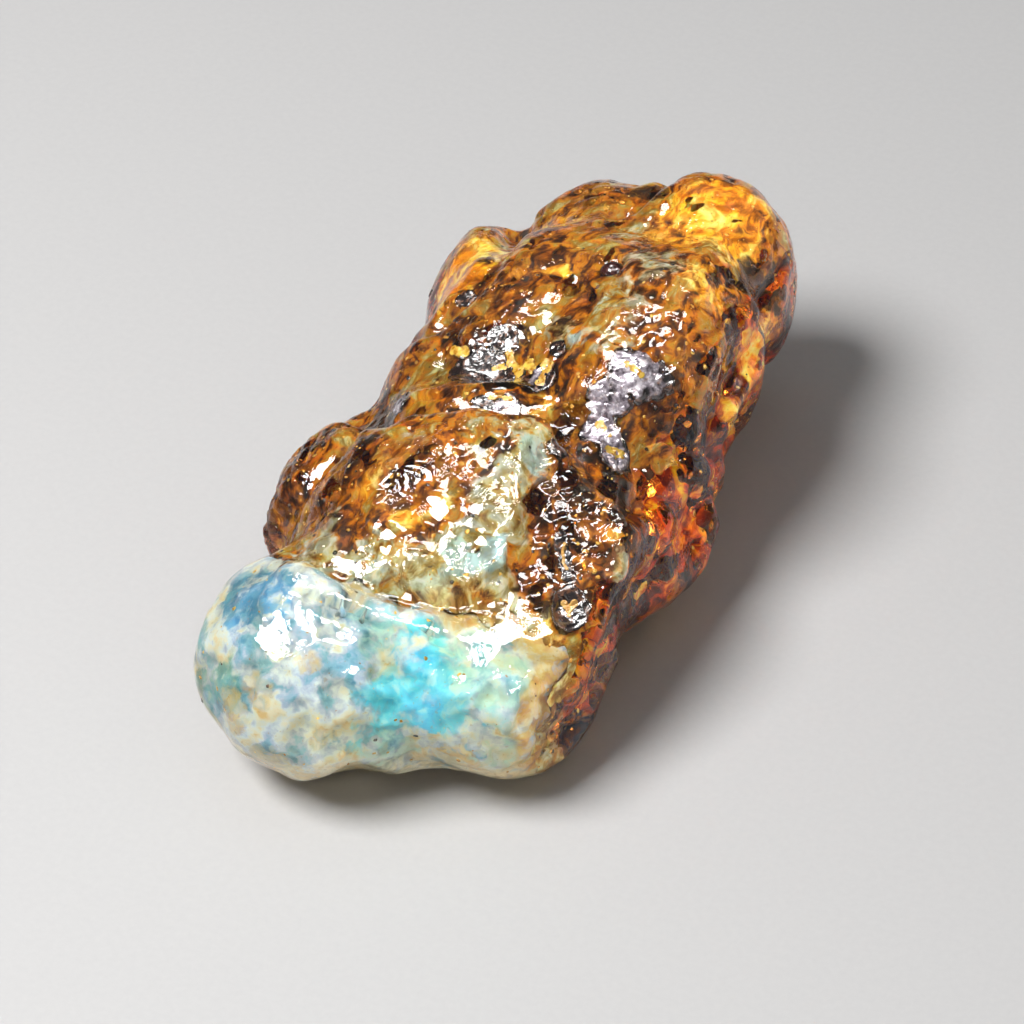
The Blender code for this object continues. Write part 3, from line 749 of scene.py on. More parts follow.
class SharedPatterns:
    """The patterns that more than one finish uses, each made once as a group of nodes."""

    def __init__(self) -> None:
        """Makes the groups."""
        self.marbling = self.make_marbling()
        self.wet_relief = self.make_wet_relief()

    def make_marbling(self) -> bpy.types.NodeTree:
        """Warped marbling: broad swirls along the body, fine mottle, bright threads and small flecks.

        Returns:
            The group.
        """
        names = ("Broad", "Fine", "Streaks", "Threads", "Flecks", "Spots")
        graph, given, out = new_group(
            "marbling", {"Place": "NodeSocketVector"}, dict.fromkeys(names, "NodeSocketFloat"))
        place = given.outputs["Place"]
        swirl = graph.pushed(place, graph.noise(place, 3.2 * MM, 2.0).outputs["Color"], 2.8 * MM)
        along = graph.stretched(swirl, (1.25, 0.60, 1.1), -0.3)
        broad = graph.noise(along, 2.6 * MM, 4.0, 0.54, 0.3).outputs["Fac"]
        fine = graph.noise(swirl, 1.0 * MM, 4.0, 0.58, 0.3).outputs["Fac"]
        flow = graph.stretched(swirl, (1.8, 0.60, 1.6), -0.35)
        streak = graph.noise(flow, 1.1 * MM, 4.0, 0.56, 0.2).outputs["Fac"]
        line = graph.noise(along, 1.5 * MM, 3.0, 0.5, 0.6).outputs["Fac"]
        off_line = graph.math("ABSOLUTE", graph.math("SUBTRACT", line, 0.5))
        thread = graph.step(off_line, 0.0, 0.02, 1.0, 0.0)
        fleck = graph.noise(place, 0.30 * MM, 2.0, 0.6, 0.3).outputs["Fac"]
        spot = graph.noise(swirl, 1.5 * MM, 4.0, 0.56, 0.3).outputs["Fac"]
        graph.fill(out, {
            "Broad": graph.step(broad, 0.33, 0.67), "Fine": graph.step(fine, 0.33, 0.67),
            "Streaks": graph.step(streak, 0.34, 0.66), "Flecks": graph.step(fleck, 0.65, 0.70),
            "Threads": graph.times(thread, graph.step(broad, 0.42, 0.6)),
            "Spots": graph.step(spot, 0.54, 0.62)})
        return graph.tree

    def make_wet_relief(self) -> bpy.types.NodeTree:
        """The height of a wet, finely pitted skin: ripples, orange peel and small domes.

        Returns:
            The group.
        """
        value = "NodeSocketFloat"
        graph, given, out = new_group(
            "wet_relief", {"Place": "NodeSocketVector", "Calm": value}, {"Height": value})
        place = given.outputs["Place"]
        ripple = graph.noise(place, 1.7 * MM, 2.0, 0.5, 0.3).outputs["Fac"]
        peel = graph.noise(place, 0.34 * MM, 2.0, 0.5).outputs["Fac"]
        dome = graph.step(graph.cells(place, 0.34 * MM).outputs["Distance"], 0.1, 0.55, 1.0, 0.0)
        spread = graph.noise(place, 2.0 * MM, 2.0).outputs["Fac"]
        domes = graph.times(dome, graph.step(spread, 0.52, 0.62))
        rough = graph.plus((ripple, 1.0), (peel, 0.10), (domes, 0.34))
        still = graph.plus((ripple, 1.0), (peel, 0.09), (domes, 0.30))
        both = graph.node("ShaderNodeMix", {0: given.outputs["Calm"], 2: rough, 3: still}, data_type="FLOAT")
        graph.fill(out, {"Height": both.outputs[0]})
        return graph.tree


def new_finish(name: str) -> tuple[bpy.types.Material, Graph, Node, Node]:
    """A new material with one main shader.

    Args:
        name: The material's name.

    Returns:
        The material, its graph, the shader and the output node.
    """
    made = bpy.data.materials.new(name)
    made.use_nodes = True
    graph = Graph(made.node_tree)
    shader = graph.node("ShaderNodeBsdfPrincipled")
    out = graph.node("ShaderNodeOutputMaterial", {"Surface": shader.outputs[0]})
    return made, graph, shader, out


@dataclass(frozen=True)
class ClearResin:
    """Clear resin with a wet, water-worn gloss: it bends and tints the light that goes through it."""

    patterns: SharedPatterns
    ior: float = 1.54
    absorbed: Colour = (0.975, 0.74, 0.10)
    density: float = 190.0
    film: float = 0.4
    relief: float = 0.075 * MM

    def material(self) -> bpy.types.Material:
        """Makes the material."""
        made, graph, shader, out = new_finish("clear_resin")
        place = graph.place()
        marble = graph.group(self.patterns.marbling, Place=place).outputs
        milk = graph.weight(Zone.MILK)
        clear = graph.math("SUBTRACT", 1.0, milk)
        film = graph.times(graph.times(marble["Spots"], clear), self.film)
        relief = graph.group(self.patterns.wet_relief, Place=place, Calm=milk)
        graph.fill(shader, {
            "IOR": self.ior, "Transmission Weight": 1.0,
            "Base Color": graph.mix(film, (1.0, 1.0, 1.0), shade(244, 196, 110)),
            "Roughness": graph.step(marble["Fine"], 0.3, 1.0, 0.015, 0.06),
            "Normal": graph.bump(relief.outputs["Height"], self.relief)})
        volume = graph.node("ShaderNodeVolumeAbsorption", {"Color": self.absorbed, "Density": self.density})
        graph.fill(out, {"Volume": volume.outputs[0]})
        return made


@dataclass(frozen=True)
class Family:
    """A family of colours that one zone brings, picked by a pattern."""

    zone: Zone
    pattern: str
    strength: float
    tones: tuple[Shade, ...]

    def stops(self) -> Stops:
        """The colours spread evenly along the pattern."""
        return [(i / (len(self.tones) - 1), tone) for i, tone in enumerate(self.tones)]


BODY_FAMILIES = (
    # The clear flank's colours run from dark red to bright orange; the bright end is partly painted glow,
    # standing in for light shining through the amber, which the 'through' lamp also gives.
    Family(Zone.CLEAR, "Broad", 1.00, (
        (44, 4, 1), (112, 22, 1), (196, 72, 2), (244, 136, 8), (255, 192, 40))),
    Family(Zone.PALE, "Fine", 0.88, (
        (120, 84, 20), (156, 136, 66), (172, 170, 124), (172, 184, 172), (200, 202, 204))),
    Family(Zone.AQUA, "Broad", 0.80, ((150, 164, 150), (156, 192, 200), (180, 206, 216))),
    Family(Zone.GOLD, "Broad", 0.88, (
        (150, 74, 4), (214, 134, 12), (244, 184, 44), (252, 216, 110), (252, 230, 160))),
    Family(Zone.BROWN, "Fine", 0.92, (
        (14, 4, 2), (54, 22, 3), (106, 52, 5), (154, 88, 10), (200, 142, 42))),
    Family(Zone.DARK, "Fine", 0.95, ((8, 4, 3), (22, 9, 5), (80, 32, 6))),
    Family(Zone.CRUST, "Fine", 0.92, ((8, 5, 6), (26, 14, 14), (84, 46, 16))),
    Family(Zone.FRINGE, "Fine", 0.60, (
        (120, 78, 16), (158, 130, 56), (176, 172, 120), (190, 196, 180))),
)

MILK_FAMILIES = (
    Family(Zone.RIM, "Fine", 0.90, (
        (196, 168, 116), (226, 210, 172), (240, 232, 208), (214, 218, 204))),
    Family(Zone.BLUE, "Broad", 0.85, (
        (48, 94, 132), (38, 122, 174), (68, 154, 198), (130, 182, 210))),
    Family(Zone.TEAL, "Broad", 0.80, (
        (74, 116, 112), (38, 138, 150), (80, 166, 166), (142, 178, 156))),
    Family(Zone.CYAN, "Fine", 0.88, (
        (90, 176, 206), (70, 196, 232), (96, 214, 240), (170, 230, 240))),
    Family(Zone.SAND, "Fine", 0.80, (
        (120, 84, 24), (186, 142, 62), (206, 186, 126), (168, 182, 176), (206, 200, 184))),
    Family(Zone.AQUA, "Fine", 0.80, ((120, 178, 190), (166, 214, 216), (200, 228, 220))),
    Family(Zone.FRINGE, "Fine", 0.85, (
        (150, 84, 6), (198, 140, 32), (208, 184, 110), (206, 208, 186))),
)


@dataclass(frozen=True)
class CloudFinish:
    """The body's cloudy layers: marbled brown, gold, olive and grey-green."""

    patterns: SharedPatterns
    name: str
    see_through: float = 0.35 * MM

    def material(self) -> bpy.types.Material:
        """Makes the material."""
        made, graph, shader, _ = new_finish(self.name)
        marble = graph.group(self.patterns.marbling, Place=graph.place()).outputs
        value = graph.plus((marble["Broad"], 0.45), (marble["Fine"], 0.30), (marble["Streaks"], 0.25))
        colour = graph.ramp(value, (
            (0.10, (24, 8, 2)), (0.26, (74, 32, 3)), (0.38, (128, 68, 5)), (0.50, (180, 112, 10)),
            (0.62, (164, 120, 24)), (0.74, (144, 126, 58)), (0.88, (164, 164, 118))))
        for family in BODY_FAMILIES:
            wavy = graph.plus((graph.weight(family.zone), 0.7), (marble["Spots"], 0.14),
                              (marble["Fine"], 0.36))
            share = graph.step(wavy, 0.46, 0.80, 0.0, family.strength)
            value = graph.plus((marble[family.pattern], 0.7), (marble["Streaks"], 0.3))
            colour = graph.mix(share, colour, graph.ramp(value, family.stops()))
        cloudy = graph.math("SUBTRACT", 1.0, graph.weight(Zone.CLEAR))
        bright = graph.times(graph.times(marble["Threads"], cloudy), 0.30)
        colour = graph.mix(bright, colour, shade(236, 176, 60))
        flecks = graph.times(marble["Flecks"], 0.55)
        colour = graph.mix(flecks, colour, shade(40, 16, 3))
        grey = graph.step(marble["Streaks"], 0.0, 1.0, 0.22, 0.80)
        colour = graph.mix(0.55, colour, grey, "OVERLAY")
        graph.fill(shader, {
            "Base Color": colour, "Roughness": graph.step(marble["Fine"], 0.0, 1.0, 0.35, 0.65),
            "Specular IOR Level": 0.25, "Subsurface Weight": 1.0, "Subsurface Radius": (1.0, 0.6, 0.3),
            "Subsurface Scale": self.see_through})
        return made


@dataclass(frozen=True)
class MilkFinish:
    """The blue end's milk: a soft mosaic of lilac, cream, green, teal, blue and cyan."""

    patterns: SharedPatterns
    name: str = "milk"

    def material(self) -> bpy.types.Material:
        """Makes the material."""
        made, graph, shader, _ = new_finish(self.name)
        place = graph.place()
        marble = graph.group(self.patterns.marbling, Place=place).outputs
        warped = graph.pushed(place, graph.noise(place, 1.2 * MM, 4.0, 0.6).outputs["Color"], 1.3 * MM)
        flake, tone = self.flakes(graph, warped, 0.85 * MM)
        broad = graph.noise(warped, 2.6 * MM, 4.0, 0.6).outputs["Fac"]
        value = graph.plus((graph.step(broad, 0.30, 0.70), 0.68), (flake, 0.32))
        colour = graph.ramp(value, (
            (0.06, (84, 138, 166)), (0.22, (128, 176, 196)), (0.40, (172, 188, 208)),
            (0.58, (206, 220, 224)), (0.76, (216, 214, 188)), (0.94, (210, 184, 128))))
        for family in MILK_FAMILIES:
            wavy = graph.plus((graph.weight(family.zone), 0.62), (tone, 0.26), (marble["Fine"], 0.34))
            share = graph.step(wavy, 0.56, 0.98, 0.0, family.strength)
            value = graph.plus((marble[family.pattern], 0.5), (flake, 0.5))
            colour = graph.mix(share, colour, graph.ramp(value, family.stops()))
        specks = graph.times(marble["Flecks"], 0.35)
        colour = graph.mix(specks, colour, shade(160, 124, 70))
        graph.fill(shader, {
            "Base Color": colour, "Roughness": 0.4, "Specular IOR Level": 0.25,
            "Subsurface Weight": 0.9, "Subsurface Radius": (1.0, 0.85, 0.75),
            "Subsurface Scale": 0.85 * MM})
        return made

    def flakes(self, graph: Graph, place: Socket, size: float) -> tuple[Socket, Socket]:
        """Two values that change from one small soft-edged flake to the next."""
        cells = graph.cells(place, size, 0.35)
        parts = graph.node("ShaderNodeSeparateColor", {0: cells.outputs["Color"]})
        return parts.outputs[0], parts.outputs[1]


@dataclass(frozen=True)
class CrustFinish:
    """Shiny black mineral crust with a painted silvery sheen in places: a light grey colour that stands in
    for reflection, partly metallic as well.
    """

    patterns: SharedPatterns
    name: str = "dark_crust"

    def material(self) -> bpy.types.Material:
        """Makes the material."""
        made, graph, shader, _ = new_finish(self.name)
        place = graph.place()
        grain = graph.noise(place, 0.5 * MM, 5.0, 0.65).outputs["Fac"]
        black = graph.ramp(grain, ((0.38, (10, 6, 7)), (0.52, (40, 22, 18)), (0.64, (110, 62, 22))))
        # Painted reflection: this light grey-lilac ramp stands in for the silvery sheen of the wet crust; the
        # same mask also makes it partly metallic.
        grey = graph.ramp(grain, ((0.36, (88, 76, 84)), (0.48, (178, 166, 176)), (0.62, (228, 220, 226))))
        drift = graph.noise(place, 1.3 * MM, 4.0, 0.6).outputs["Fac"]
        painted_silver_sheen = graph.step(graph.plus((graph.weight(Zone.PAINTED_SILVER_SHEEN), 0.55), (drift, 1.0)), 0.86, 1.06)
        relief = graph.group(self.patterns.wet_relief, Place=place, Calm=0.0)
        graph.fill(shader, {
            "Base Color": graph.mix(painted_silver_sheen, black, grey), "Metallic": graph.times(painted_silver_sheen, 0.45),
            "Roughness": graph.step(grain, 0.3, 0.7, 0.10, 0.34),
            "Normal": graph.bump(relief.outputs["Height"], 0.06 * MM), "Specular IOR Level": 1.0,
            "Coat Weight": 0.8, "Coat Roughness": 0.06})
        return made


@dataclass(frozen=True)
class SpeckFinish:
    """A finish for threads, flecks, spangles and small beads."""

    name: str
    dark: Shade
    light: Shade
    roughness: float
    metallic: float = 0.0

    def material(self) -> bpy.types.Material:
        """Makes the material."""
        made, graph, shader, _ = new_finish(self.name)
        grain = graph.noise(graph.place(), 0.35 * MM, 4.0, 0.6).outputs["Fac"]
        graph.fill(shader, {
            "Base Color": graph.ramp(grain, ((0.35, self.dark), (0.62, self.light))),
            "Roughness": graph.step(grain, 0.3, 0.7, self.roughness, self.roughness + 0.15),
            "Normal": graph.bump(grain, 0.04 * MM), "Metallic": self.metallic, "Coat Weight": 0.6,
            "Coat Roughness": 0.05})
        return made


@dataclass(frozen=True)
class FloorFinish:
    """Pale matt paper."""

    colour: Colour = shade(180, 179, 179)
    fibre: Colour = shade(188, 187, 186)

    def material(self) -> bpy.types.Material:
        """Makes the material."""
        made, graph, shader, _ = new_finish("pale_floor")
        fibre = graph.noise(graph.place(), 0.5 * MM, 4.0, 0.6).outputs["Fac"]
        graph.fill(shader, {"Base Color": graph.mix(fibre, self.colour, self.fibre), "Roughness": 0.9})
        return made


@dataclass
class ResinSkin:
    """The nugget's outer skin of clear resin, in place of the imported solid."""

    form: NuggetForm
    mesh: bpy.types.Mesh = field(init=False)
    even: np.ndarray = field(init=False)
    ground: Ground = field(init=False)
    grain: float = 0.228 * MM
    smoothing: float = 0.60 * MM
    lump_size: float = 1.5 * MM
    lumps: float = 0.075 * MM
    streak_size: float = 2.0 * MM
    streaks: float = 0.055 * MM
    block_size: float = 1.15 * MM
    blocks: float = 0.17 * MM
    bead_size: float = 1.05 * MM
    beads: float = 0.15 * MM
    pit_size: float = 0.9 * MM
    pits: float = 0.35 * MM
    lip: float = 0.32 * MM
    foot: float = 0.12 * MM

    def __post_init__(self) -> None:
        """Makes the even skin and settles the ground on it."""
        self.mesh = self.form.skin(self.grain, self.smoothing)
        self.even, _ = mesh_arrays(self.mesh)
        self.ground = Ground(SkinMap(self.mesh))

    def build(self, finish: bpy.types.Material) -> bpy.types.Object:
        """Makes the skin with its fine relief.

        Args:
            finish: The resin's material.

        Returns:
            The finished piece.
        """
        ground = self.ground.weights(self.even)
        raised = self.even + mesh_normals(self.mesh) * self.heights(self.even, ground)[:, None]
        raised[:, 2] = np.where(self.even[:, 2] < self.foot, LOW[2], raised[:, 2])
        set_places(self.mesh, np.clip(raised, LOW, HIGH))
        set_weights(self.mesh, {zone.value: weight for zone, weight in ground.items()})
        return dressed("resin_skin", self.mesh, finish)

    def heights(self, places: np.ndarray, ground: dict[Zone, np.ndarray]) -> np.ndarray:
        """The fine relief at each place.

        Args:
            places: The places on the smooth skin, one a row.
            ground: The weight of every zone at each place.

        Returns:
            How far the skin stands out at each place, below 0 where it is sunk.
        """
        calm = 1 - 0.45 * ground[Zone.MILK]
        firm = calm * (1 - 0.4 * ground[Zone.GOLD])
        lumps = self.lumps * waves(places, self.lump_size, 2, 1.3) * firm
        ridges = 1 - 2 * np.abs(waves(places, self.streak_size, 2, 7.7, (0.8, 2.2, 1.0)))
        streaks = self.streaks * ridges * firm
        near, next_near = cell_distances(places, self.block_size)
        blocks = self.blocks * (smooth(0.0, 0.30, next_near - near) - 0.7) * ground[Zone.BROWN] * calm
        close, _ = cell_distances(places, self.bead_size, 4.0)
        domes = np.clip(1 - (close / 0.62) ** 2, 0, 1)
        beads = self.beads * (domes - 0.4) * ground[Zone.BEADS] * (1 - 0.7 * ground[Zone.MILK])
        pits = self.pits * np.clip(waves(places, self.pit_size, 2, 9.2) - 0.34, 0, None) * firm
        return lumps + streaks + blocks + beads - pits + self.lip * ground[Zone.LIP]


@dataclass
class CloudLayer:
    """One cloudy layer under the skin, with holes that show what is deeper."""

    resin: ResinSkin
    skin_map: SkinMap
    name: str
    grain: float
    smoothing: float
    depth: tuple[float, float]
    thickness: float
    plain_cover: float
    cover: dict[Zone, float]
    hole_size: float
    seed: float
    sunk: float = 0.0

    def build(self, finish: bpy.types.Material) -> bpy.types.Object:
        """Makes the layer.

        Args:
            finish: The clouds' material.

        Returns:
            The finished piece.
        """
        mesh = self.resin.form.skin(self.grain, self.smoothing, self.sunk)
        places, triangles = mesh_arrays(mesh)
        ground = self.resin.ground.weights(self.resin.ground.skin_map.nearest(places)[0])
        wander = smooth(-0.5, 0.6, waves(places, 2.2 * MM, 3, self.seed + 4.4))
        sinking = self.depth[0] + (self.depth[1] - self.depth[0]) * wander - self.sunk
        level = self.covered(places, ground)
        places = places - mesh_normals(mesh) * sinking[:, None]
        places = self.skin_map.kept_under(places, 0.6 * self.depth[0])
        sheet = Cutter().cut(places, triangles, level, ground)
        return dressed(self.name, thickened(sheet, self.thickness), finish)

    def covered(self, places: np.ndarray, ground: dict[Zone, np.ndarray]) -> np.ndarray:
        """Where the layer is, above 0, and where it has holes, below 0.

        Args:
            places: The places on the smooth layer, one a row.
            ground: The weight of every zone at each place.

        Returns:
            One level for each place.
        """
        level = np.full(len(places), self.plain_cover)
        for zone, amount in self.cover.items():
            level += (amount - level) * np.clip(ground[zone], 0, 1)
        return level + waves(places, self.hole_size, 5, self.seed, (0.9, 1.8, 0.9))


def quartered(table: np.ndarray, triangles: np.ndarray) -> tuple[np.ndarray, np.ndarray]:
    """Each triangle split into four.

    Args:
        table: What is kept for each vertex, one a row.
        triangles: The triangles, as rows of vertex numbers.

    Returns:
        The longer table and the smaller triangles.
    """
    edges = np.sort(triangles[:, [[0, 1], [1, 2], [2, 0]]].reshape(-1, 2), axis=1)
    each, number = np.unique(edges, axis=0, return_inverse=True)
    a, b, c = triangles.T
    ab, bc, ca = (len(table) + number.reshape(-1, 3)).T
    corners = [np.column_stack(four) for four in ((a, ab, ca), (b, bc, ab), (c, ca, bc), (ab, bc, ca))]
    return np.vstack([table, table[each].mean(axis=1)]), np.vstack(corners)


@dataclass
class Inlay:
    """Another stuff that lies in the skin where one zone is strong: crust, windows or a fine line."""

    resin: ResinSkin
    name: str
    zone: Zone
    lift: float
    finer: int
    raggedness: float
    wave: float = 0.9 * MM
    root: float = 0.04 * MM
    thickness: float = 0.28 * MM
    cleared_by: tuple[Zone, ...] = ()

    def build(self, finish: bpy.types.Material) -> bpy.types.Object:
        """Makes the inlay.

        Args:
            finish: Its material.

        Returns:
            The finished piece.
        """
        table, triangles = self.close_by()
        raised, even, normals = table[:, :3], table[:, 3:6], table[:, 6:]
        ground = self.resin.ground.weights(even)
        level = ground[self.zone] - 0.5 + self.raggedness * waves(even, self.wave, 4, 6.6)
        for zone in self.cleared_by:
            level -= 1.5 * ground[zone]
        level = np.where(ground[self.zone] > 0.02, level, -0.5)
        swell = smooth(0.0, 0.35, level) * (1 + 0.5 * waves(even, 0.5 * MM, 2, 2.2))
        places = raised + normals * (self.lift * swell - self.root)[:, None]
        # The crust keeps the weight of its painted silvery sheen, for its material.
        kept = {Zone.PAINTED_SILVER_SHEEN: ground[Zone.PAINTED_SILVER_SHEEN]}
        sheet = Cutter(least_faces=12).cut(np.clip(places, LOW, HIGH), triangles, level, kept)
        return dressed(self.name, thickened(sheet, self.thickness), finish)

    def close_by(self) -> tuple[np.ndarray, np.ndarray]:
        """The skin close to the zone, in smaller triangles.

        Returns:
            For each vertex its place, its place on the even skin and its normal, and the triangles.
        """
        mesh = self.resin.mesh
        places, triangles = mesh_arrays(mesh)
        table = np.column_stack([places, self.resin.even, mesh_normals(mesh)])
        weight = weight_on(mesh, self.zone)
        used, numbers = np.unique(triangles[(weight[triangles] > 0).any(axis=1)], return_inverse=True)
        table, triangles = table[used], numbers.reshape(-1, 3)
        for _ in range(self.finer):
            table, triangles = quartered(table, triangles)
        return table, triangles


class GeometryTree(Graph):
    """A tree of geometry nodes with named inputs, which is run on a mesh."""

    def __init__(self, name: str, inputs: dict[str, tuple[str, object]]) -> None:
        """Starts a tree.

        Args:
            name: The tree's name.
            inputs: For each input after the geometry, its kind of socket and its first value.
        """
        super().__init__(bpy.data.node_groups.new(name, "GeometryNodeTree"))
        face = self.tree.interface
        face.new_socket("Geometry", in_out="INPUT", socket_type="NodeSocketGeometry")
        self.identifiers: dict[str, str] = {}
        for label, (kind, value) in inputs.items():
            socket = face.new_socket(label, in_out="INPUT", socket_type=kind)
            if value is not None:
                socket.default_value = value
            self.identifiers[label] = socket.identifier
        face.new_socket("Geometry", in_out="OUTPUT", socket_type="NodeSocketGeometry")
        self.given = self.node("NodeGroupInput").outputs
        self.out = self.node("NodeGroupOutput")

    def random(self, low: float, high: float, seed: object) -> Socket:
        """A random value for each element."""
        made = self.node("FunctionNodeRandomValue", {2: low, 3: high, "Seed": seed}, data_type="FLOAT")
        return made.outputs[1]

    def close(self, geometry: Socket) -> None:
        """Ends the tree: real geometry with the given material."""
        real = self.node("GeometryNodeRealizeInstances", {0: geometry})
        painted = self.node("GeometryNodeSetMaterial", {
            0: real.outputs[0], "Material": self.given["Material"]})
        self.fill(self.out, {0: painted.outputs[0]})

    def run(self, mesh: bpy.types.Mesh, values: dict[str, object]) -> bpy.types.Mesh:
        """Runs the tree.

        Args:
            mesh: The geometry that it starts from.
            values: Values for its inputs, by name.

        Returns:
            The result, as a plain mesh.
        """
        carrier = object_of("carrier", mesh)
        modifier = carrier.modifiers.new("tree", "NODES")
        modifier.node_group = self.tree
        for label, value in values.items():
            modifier[self.identifiers[label]] = value
        return worked_in(carrier)


class StrewnGrains(GeometryTree):
    """Strews irregular grains over a surface, more of them where the surface's chance is high."""

    def __init__(self) -> None:
        """Makes the tree."""
        number, whole = "NodeSocketFloat", "NodeSocketInt"
        super().__init__("strewn_grains", {
            "Density": (number, 1e6), "Least size": (number, 0.05 * MM), "Most size": (number, 0.2 * MM),
            "Flatness": (number, 1.0), "Sink": (number, 0.0), "Raggedness": (number, 0.3),
            "Roundness": (whole, 2), "Seed": (whole, 0), "Material": ("NodeSocketMaterial", None)})
        given = self.given
        chance = self.node("GeometryNodeInputNamedAttribute", {"Name": "chance"}, data_type="FLOAT")
        strewn = self.node("GeometryNodeDistributePointsOnFaces", {
            "Mesh": given["Geometry"], "Density": self.times(chance.outputs[0], given["Density"]),
            "Seed": given["Seed"]})
        sunk = self.times(self.random(-1.0, -0.3, 7), given["Sink"])
        sink = self.node("ShaderNodeVectorMath", {0: strewn.outputs["Normal"], "Scale": sunk},
                         operation="SCALE")
        placed = self.node("GeometryNodeSetPosition", {
            "Geometry": strewn.outputs["Points"], "Offset": sink.outputs[0]})
        grain = self.node("GeometryNodeMeshIcoSphere", {"Radius": 1.0, "Subdivisions": given["Roundness"]})
        about = self.node("ShaderNodeCombineXYZ", {"Z": self.random(0.0, math.tau, given["Seed"])})
        turned = self.node("FunctionNodeRotateRotation", {
            0: strewn.outputs["Rotation"], 1: about.outputs[0]}, rotation_space="LOCAL")
        put = self.node("GeometryNodeInstanceOnPoints", {
            "Points": placed.outputs[0], "Instance": grain.outputs[0], "Rotation": turned.outputs[0],
            "Scale": self.sizes()})
        real = self.node("GeometryNodeRealizeInstances", {0: put.outputs[0]})
        self.close(self.roughened(real.outputs[0]))

    def sizes(self) -> Socket:
        """The grains' random sizes: many small ones, few large ones, flattened along the normal."""
        skewed = self.math("POWER", self.random(0.0, 1.0, 3), 3.0)
        span = self.node("ShaderNodeMapRange", {
            "Value": skewed, "To Min": self.given["Least size"], "To Max": self.given["Most size"]})
        half = self.times(span.outputs[0], 0.5)
        return self.node("ShaderNodeCombineXYZ", {
            "X": self.times(half, self.random(0.7, 1.5, 5)), "Y": half,
            "Z": self.times(half, self.given["Flatness"])}).outputs[0]

    def roughened(self, geometry: Socket) -> Socket:
        """The grains with their surfaces pushed about, so that none is a plain ball."""
        pattern = self.node("ShaderNodeTexNoise", {"Scale": 9000.0, "Detail": 1.0})
        centred = self.node("ShaderNodeVectorMath", {
            0: pattern.outputs["Color"], 1: (0.5, 0.5, 0.5)}, operation="SUBTRACT")
        reach = self.times(self.times(self.given["Raggedness"], self.given["Most size"]), 0.5)
        push = self.node("ShaderNodeVectorMath", {0: centred.outputs[0], "Scale": reach}, operation="SCALE")
        pushed = self.node("GeometryNodeSetPosition", {"Geometry": geometry, "Offset": push.outputs[0]})
        return pushed.outputs[0]


@dataclass
class Strewn:
    """One sort of grain strewn on or under the skin."""

    tree: StrewnGrains
    name: str
    per_square_mm: float
    sizes: tuple[float, float]
    flatness: float
    sink: float
    seed: int
    plain_chance: float
    chances: dict[Zone, float]
    raggedness: float = 0.35
    roundness: int = 2

    def build(self, skin: bpy.types.Mesh, finish: bpy.types.Material) -> bpy.types.Object:
        """Makes the grains.

        Args:
            skin: The surface that they are strewn over, which keeps the zones' weights.
            finish: Their material.

        Returns:
            The finished piece.
        """
        carrier = skin.copy()
        places, _ = mesh_arrays(carrier)
        chance = np.full(len(places), self.plain_chance)
        for zone, amount in self.chances.items():
            chance += (amount - chance) * weight_on(carrier, zone)
        set_weights(carrier, {"chance": chance * smooth(0.6 * MM, 1.6 * MM, places[:, 2])})
        made = self.tree.run(carrier, {
            "Density": self.per_square_mm / MM ** 2, "Least size": self.sizes[0], "Most size": self.sizes[1],
            "Flatness": self.flatness, "Sink": self.sink, "Seed": self.seed, "Raggedness": self.raggedness,
            "Roundness": self.roundness, "Material": finish})
        set_places(made, np.clip(mesh_arrays(made)[0], LOW, HIGH))
        return dressed(self.name, made, finish)


@dataclass
class PitBead:
    """The dark round bead that sits in a pit on the nugget's back."""

    skin_map: SkinMap
    spot: Spot = (2.0, 10.4, 17.9)
    radius: float = 0.85 * MM
    sink: float = 0.30 * MM

    def build(self, finish: bpy.types.Material) -> bpy.types.Object:
        """Makes the bead, slightly out of round."""
        centre = self.skin_map.onto(self.spot, -self.sink)
        ball = bmesh.new()
        bmesh.ops.create_icosphere(ball, subdivisions=4, radius=self.radius)
        for vertex in ball.verts:
            swell = noise.noise(vertex.co / (0.6 * MM)) * 0.07
            vertex.co = centre + vertex.co * (1 + swell)
        mesh = bpy.data.meshes.new("bead")
        ball.to_mesh(mesh)
        ball.free()
        return dressed("pit_bead", mesh, finish)


@dataclass(frozen=True)
class Lamp:
    """A soft oval light. Its direction is to the camera's right, to the front and up."""

    name: str
    toward: Spot
    distance: float
    size: tuple[float, float]
    watts: float
    lights_floor: bool = False
    makes_gloss: bool = True
    tint: Colour = (1.0, 1.0, 1.0)


LAMPS = (
    Lamp("left", (-0.48, 0.26, 0.84), 0.36, (0.20, 0.14), 2.00, lights_floor=True),
    Lamp("right", (0.46, 0.05, 0.88), 0.36, (0.13, 0.10), 0.80),
    Lamp("behind", (-0.12, -0.38, 0.92), 0.36, (0.18, 0.09), 0.75),
    Lamp("through", (0.85, -0.35, 0.40), 0.42, (0.20, 0.14), 2.40, makes_gloss=False, tint=(1.0, 0.93, 0.82)),
    Lamp("front", (-0.20, 0.93, 0.30), 0.45, (0.30, 0.20), 1.40, makes_gloss=False),
    Lamp("top", (0.12, 0.18, 0.97), 0.36, (0.14, 0.08), 0.50),
)


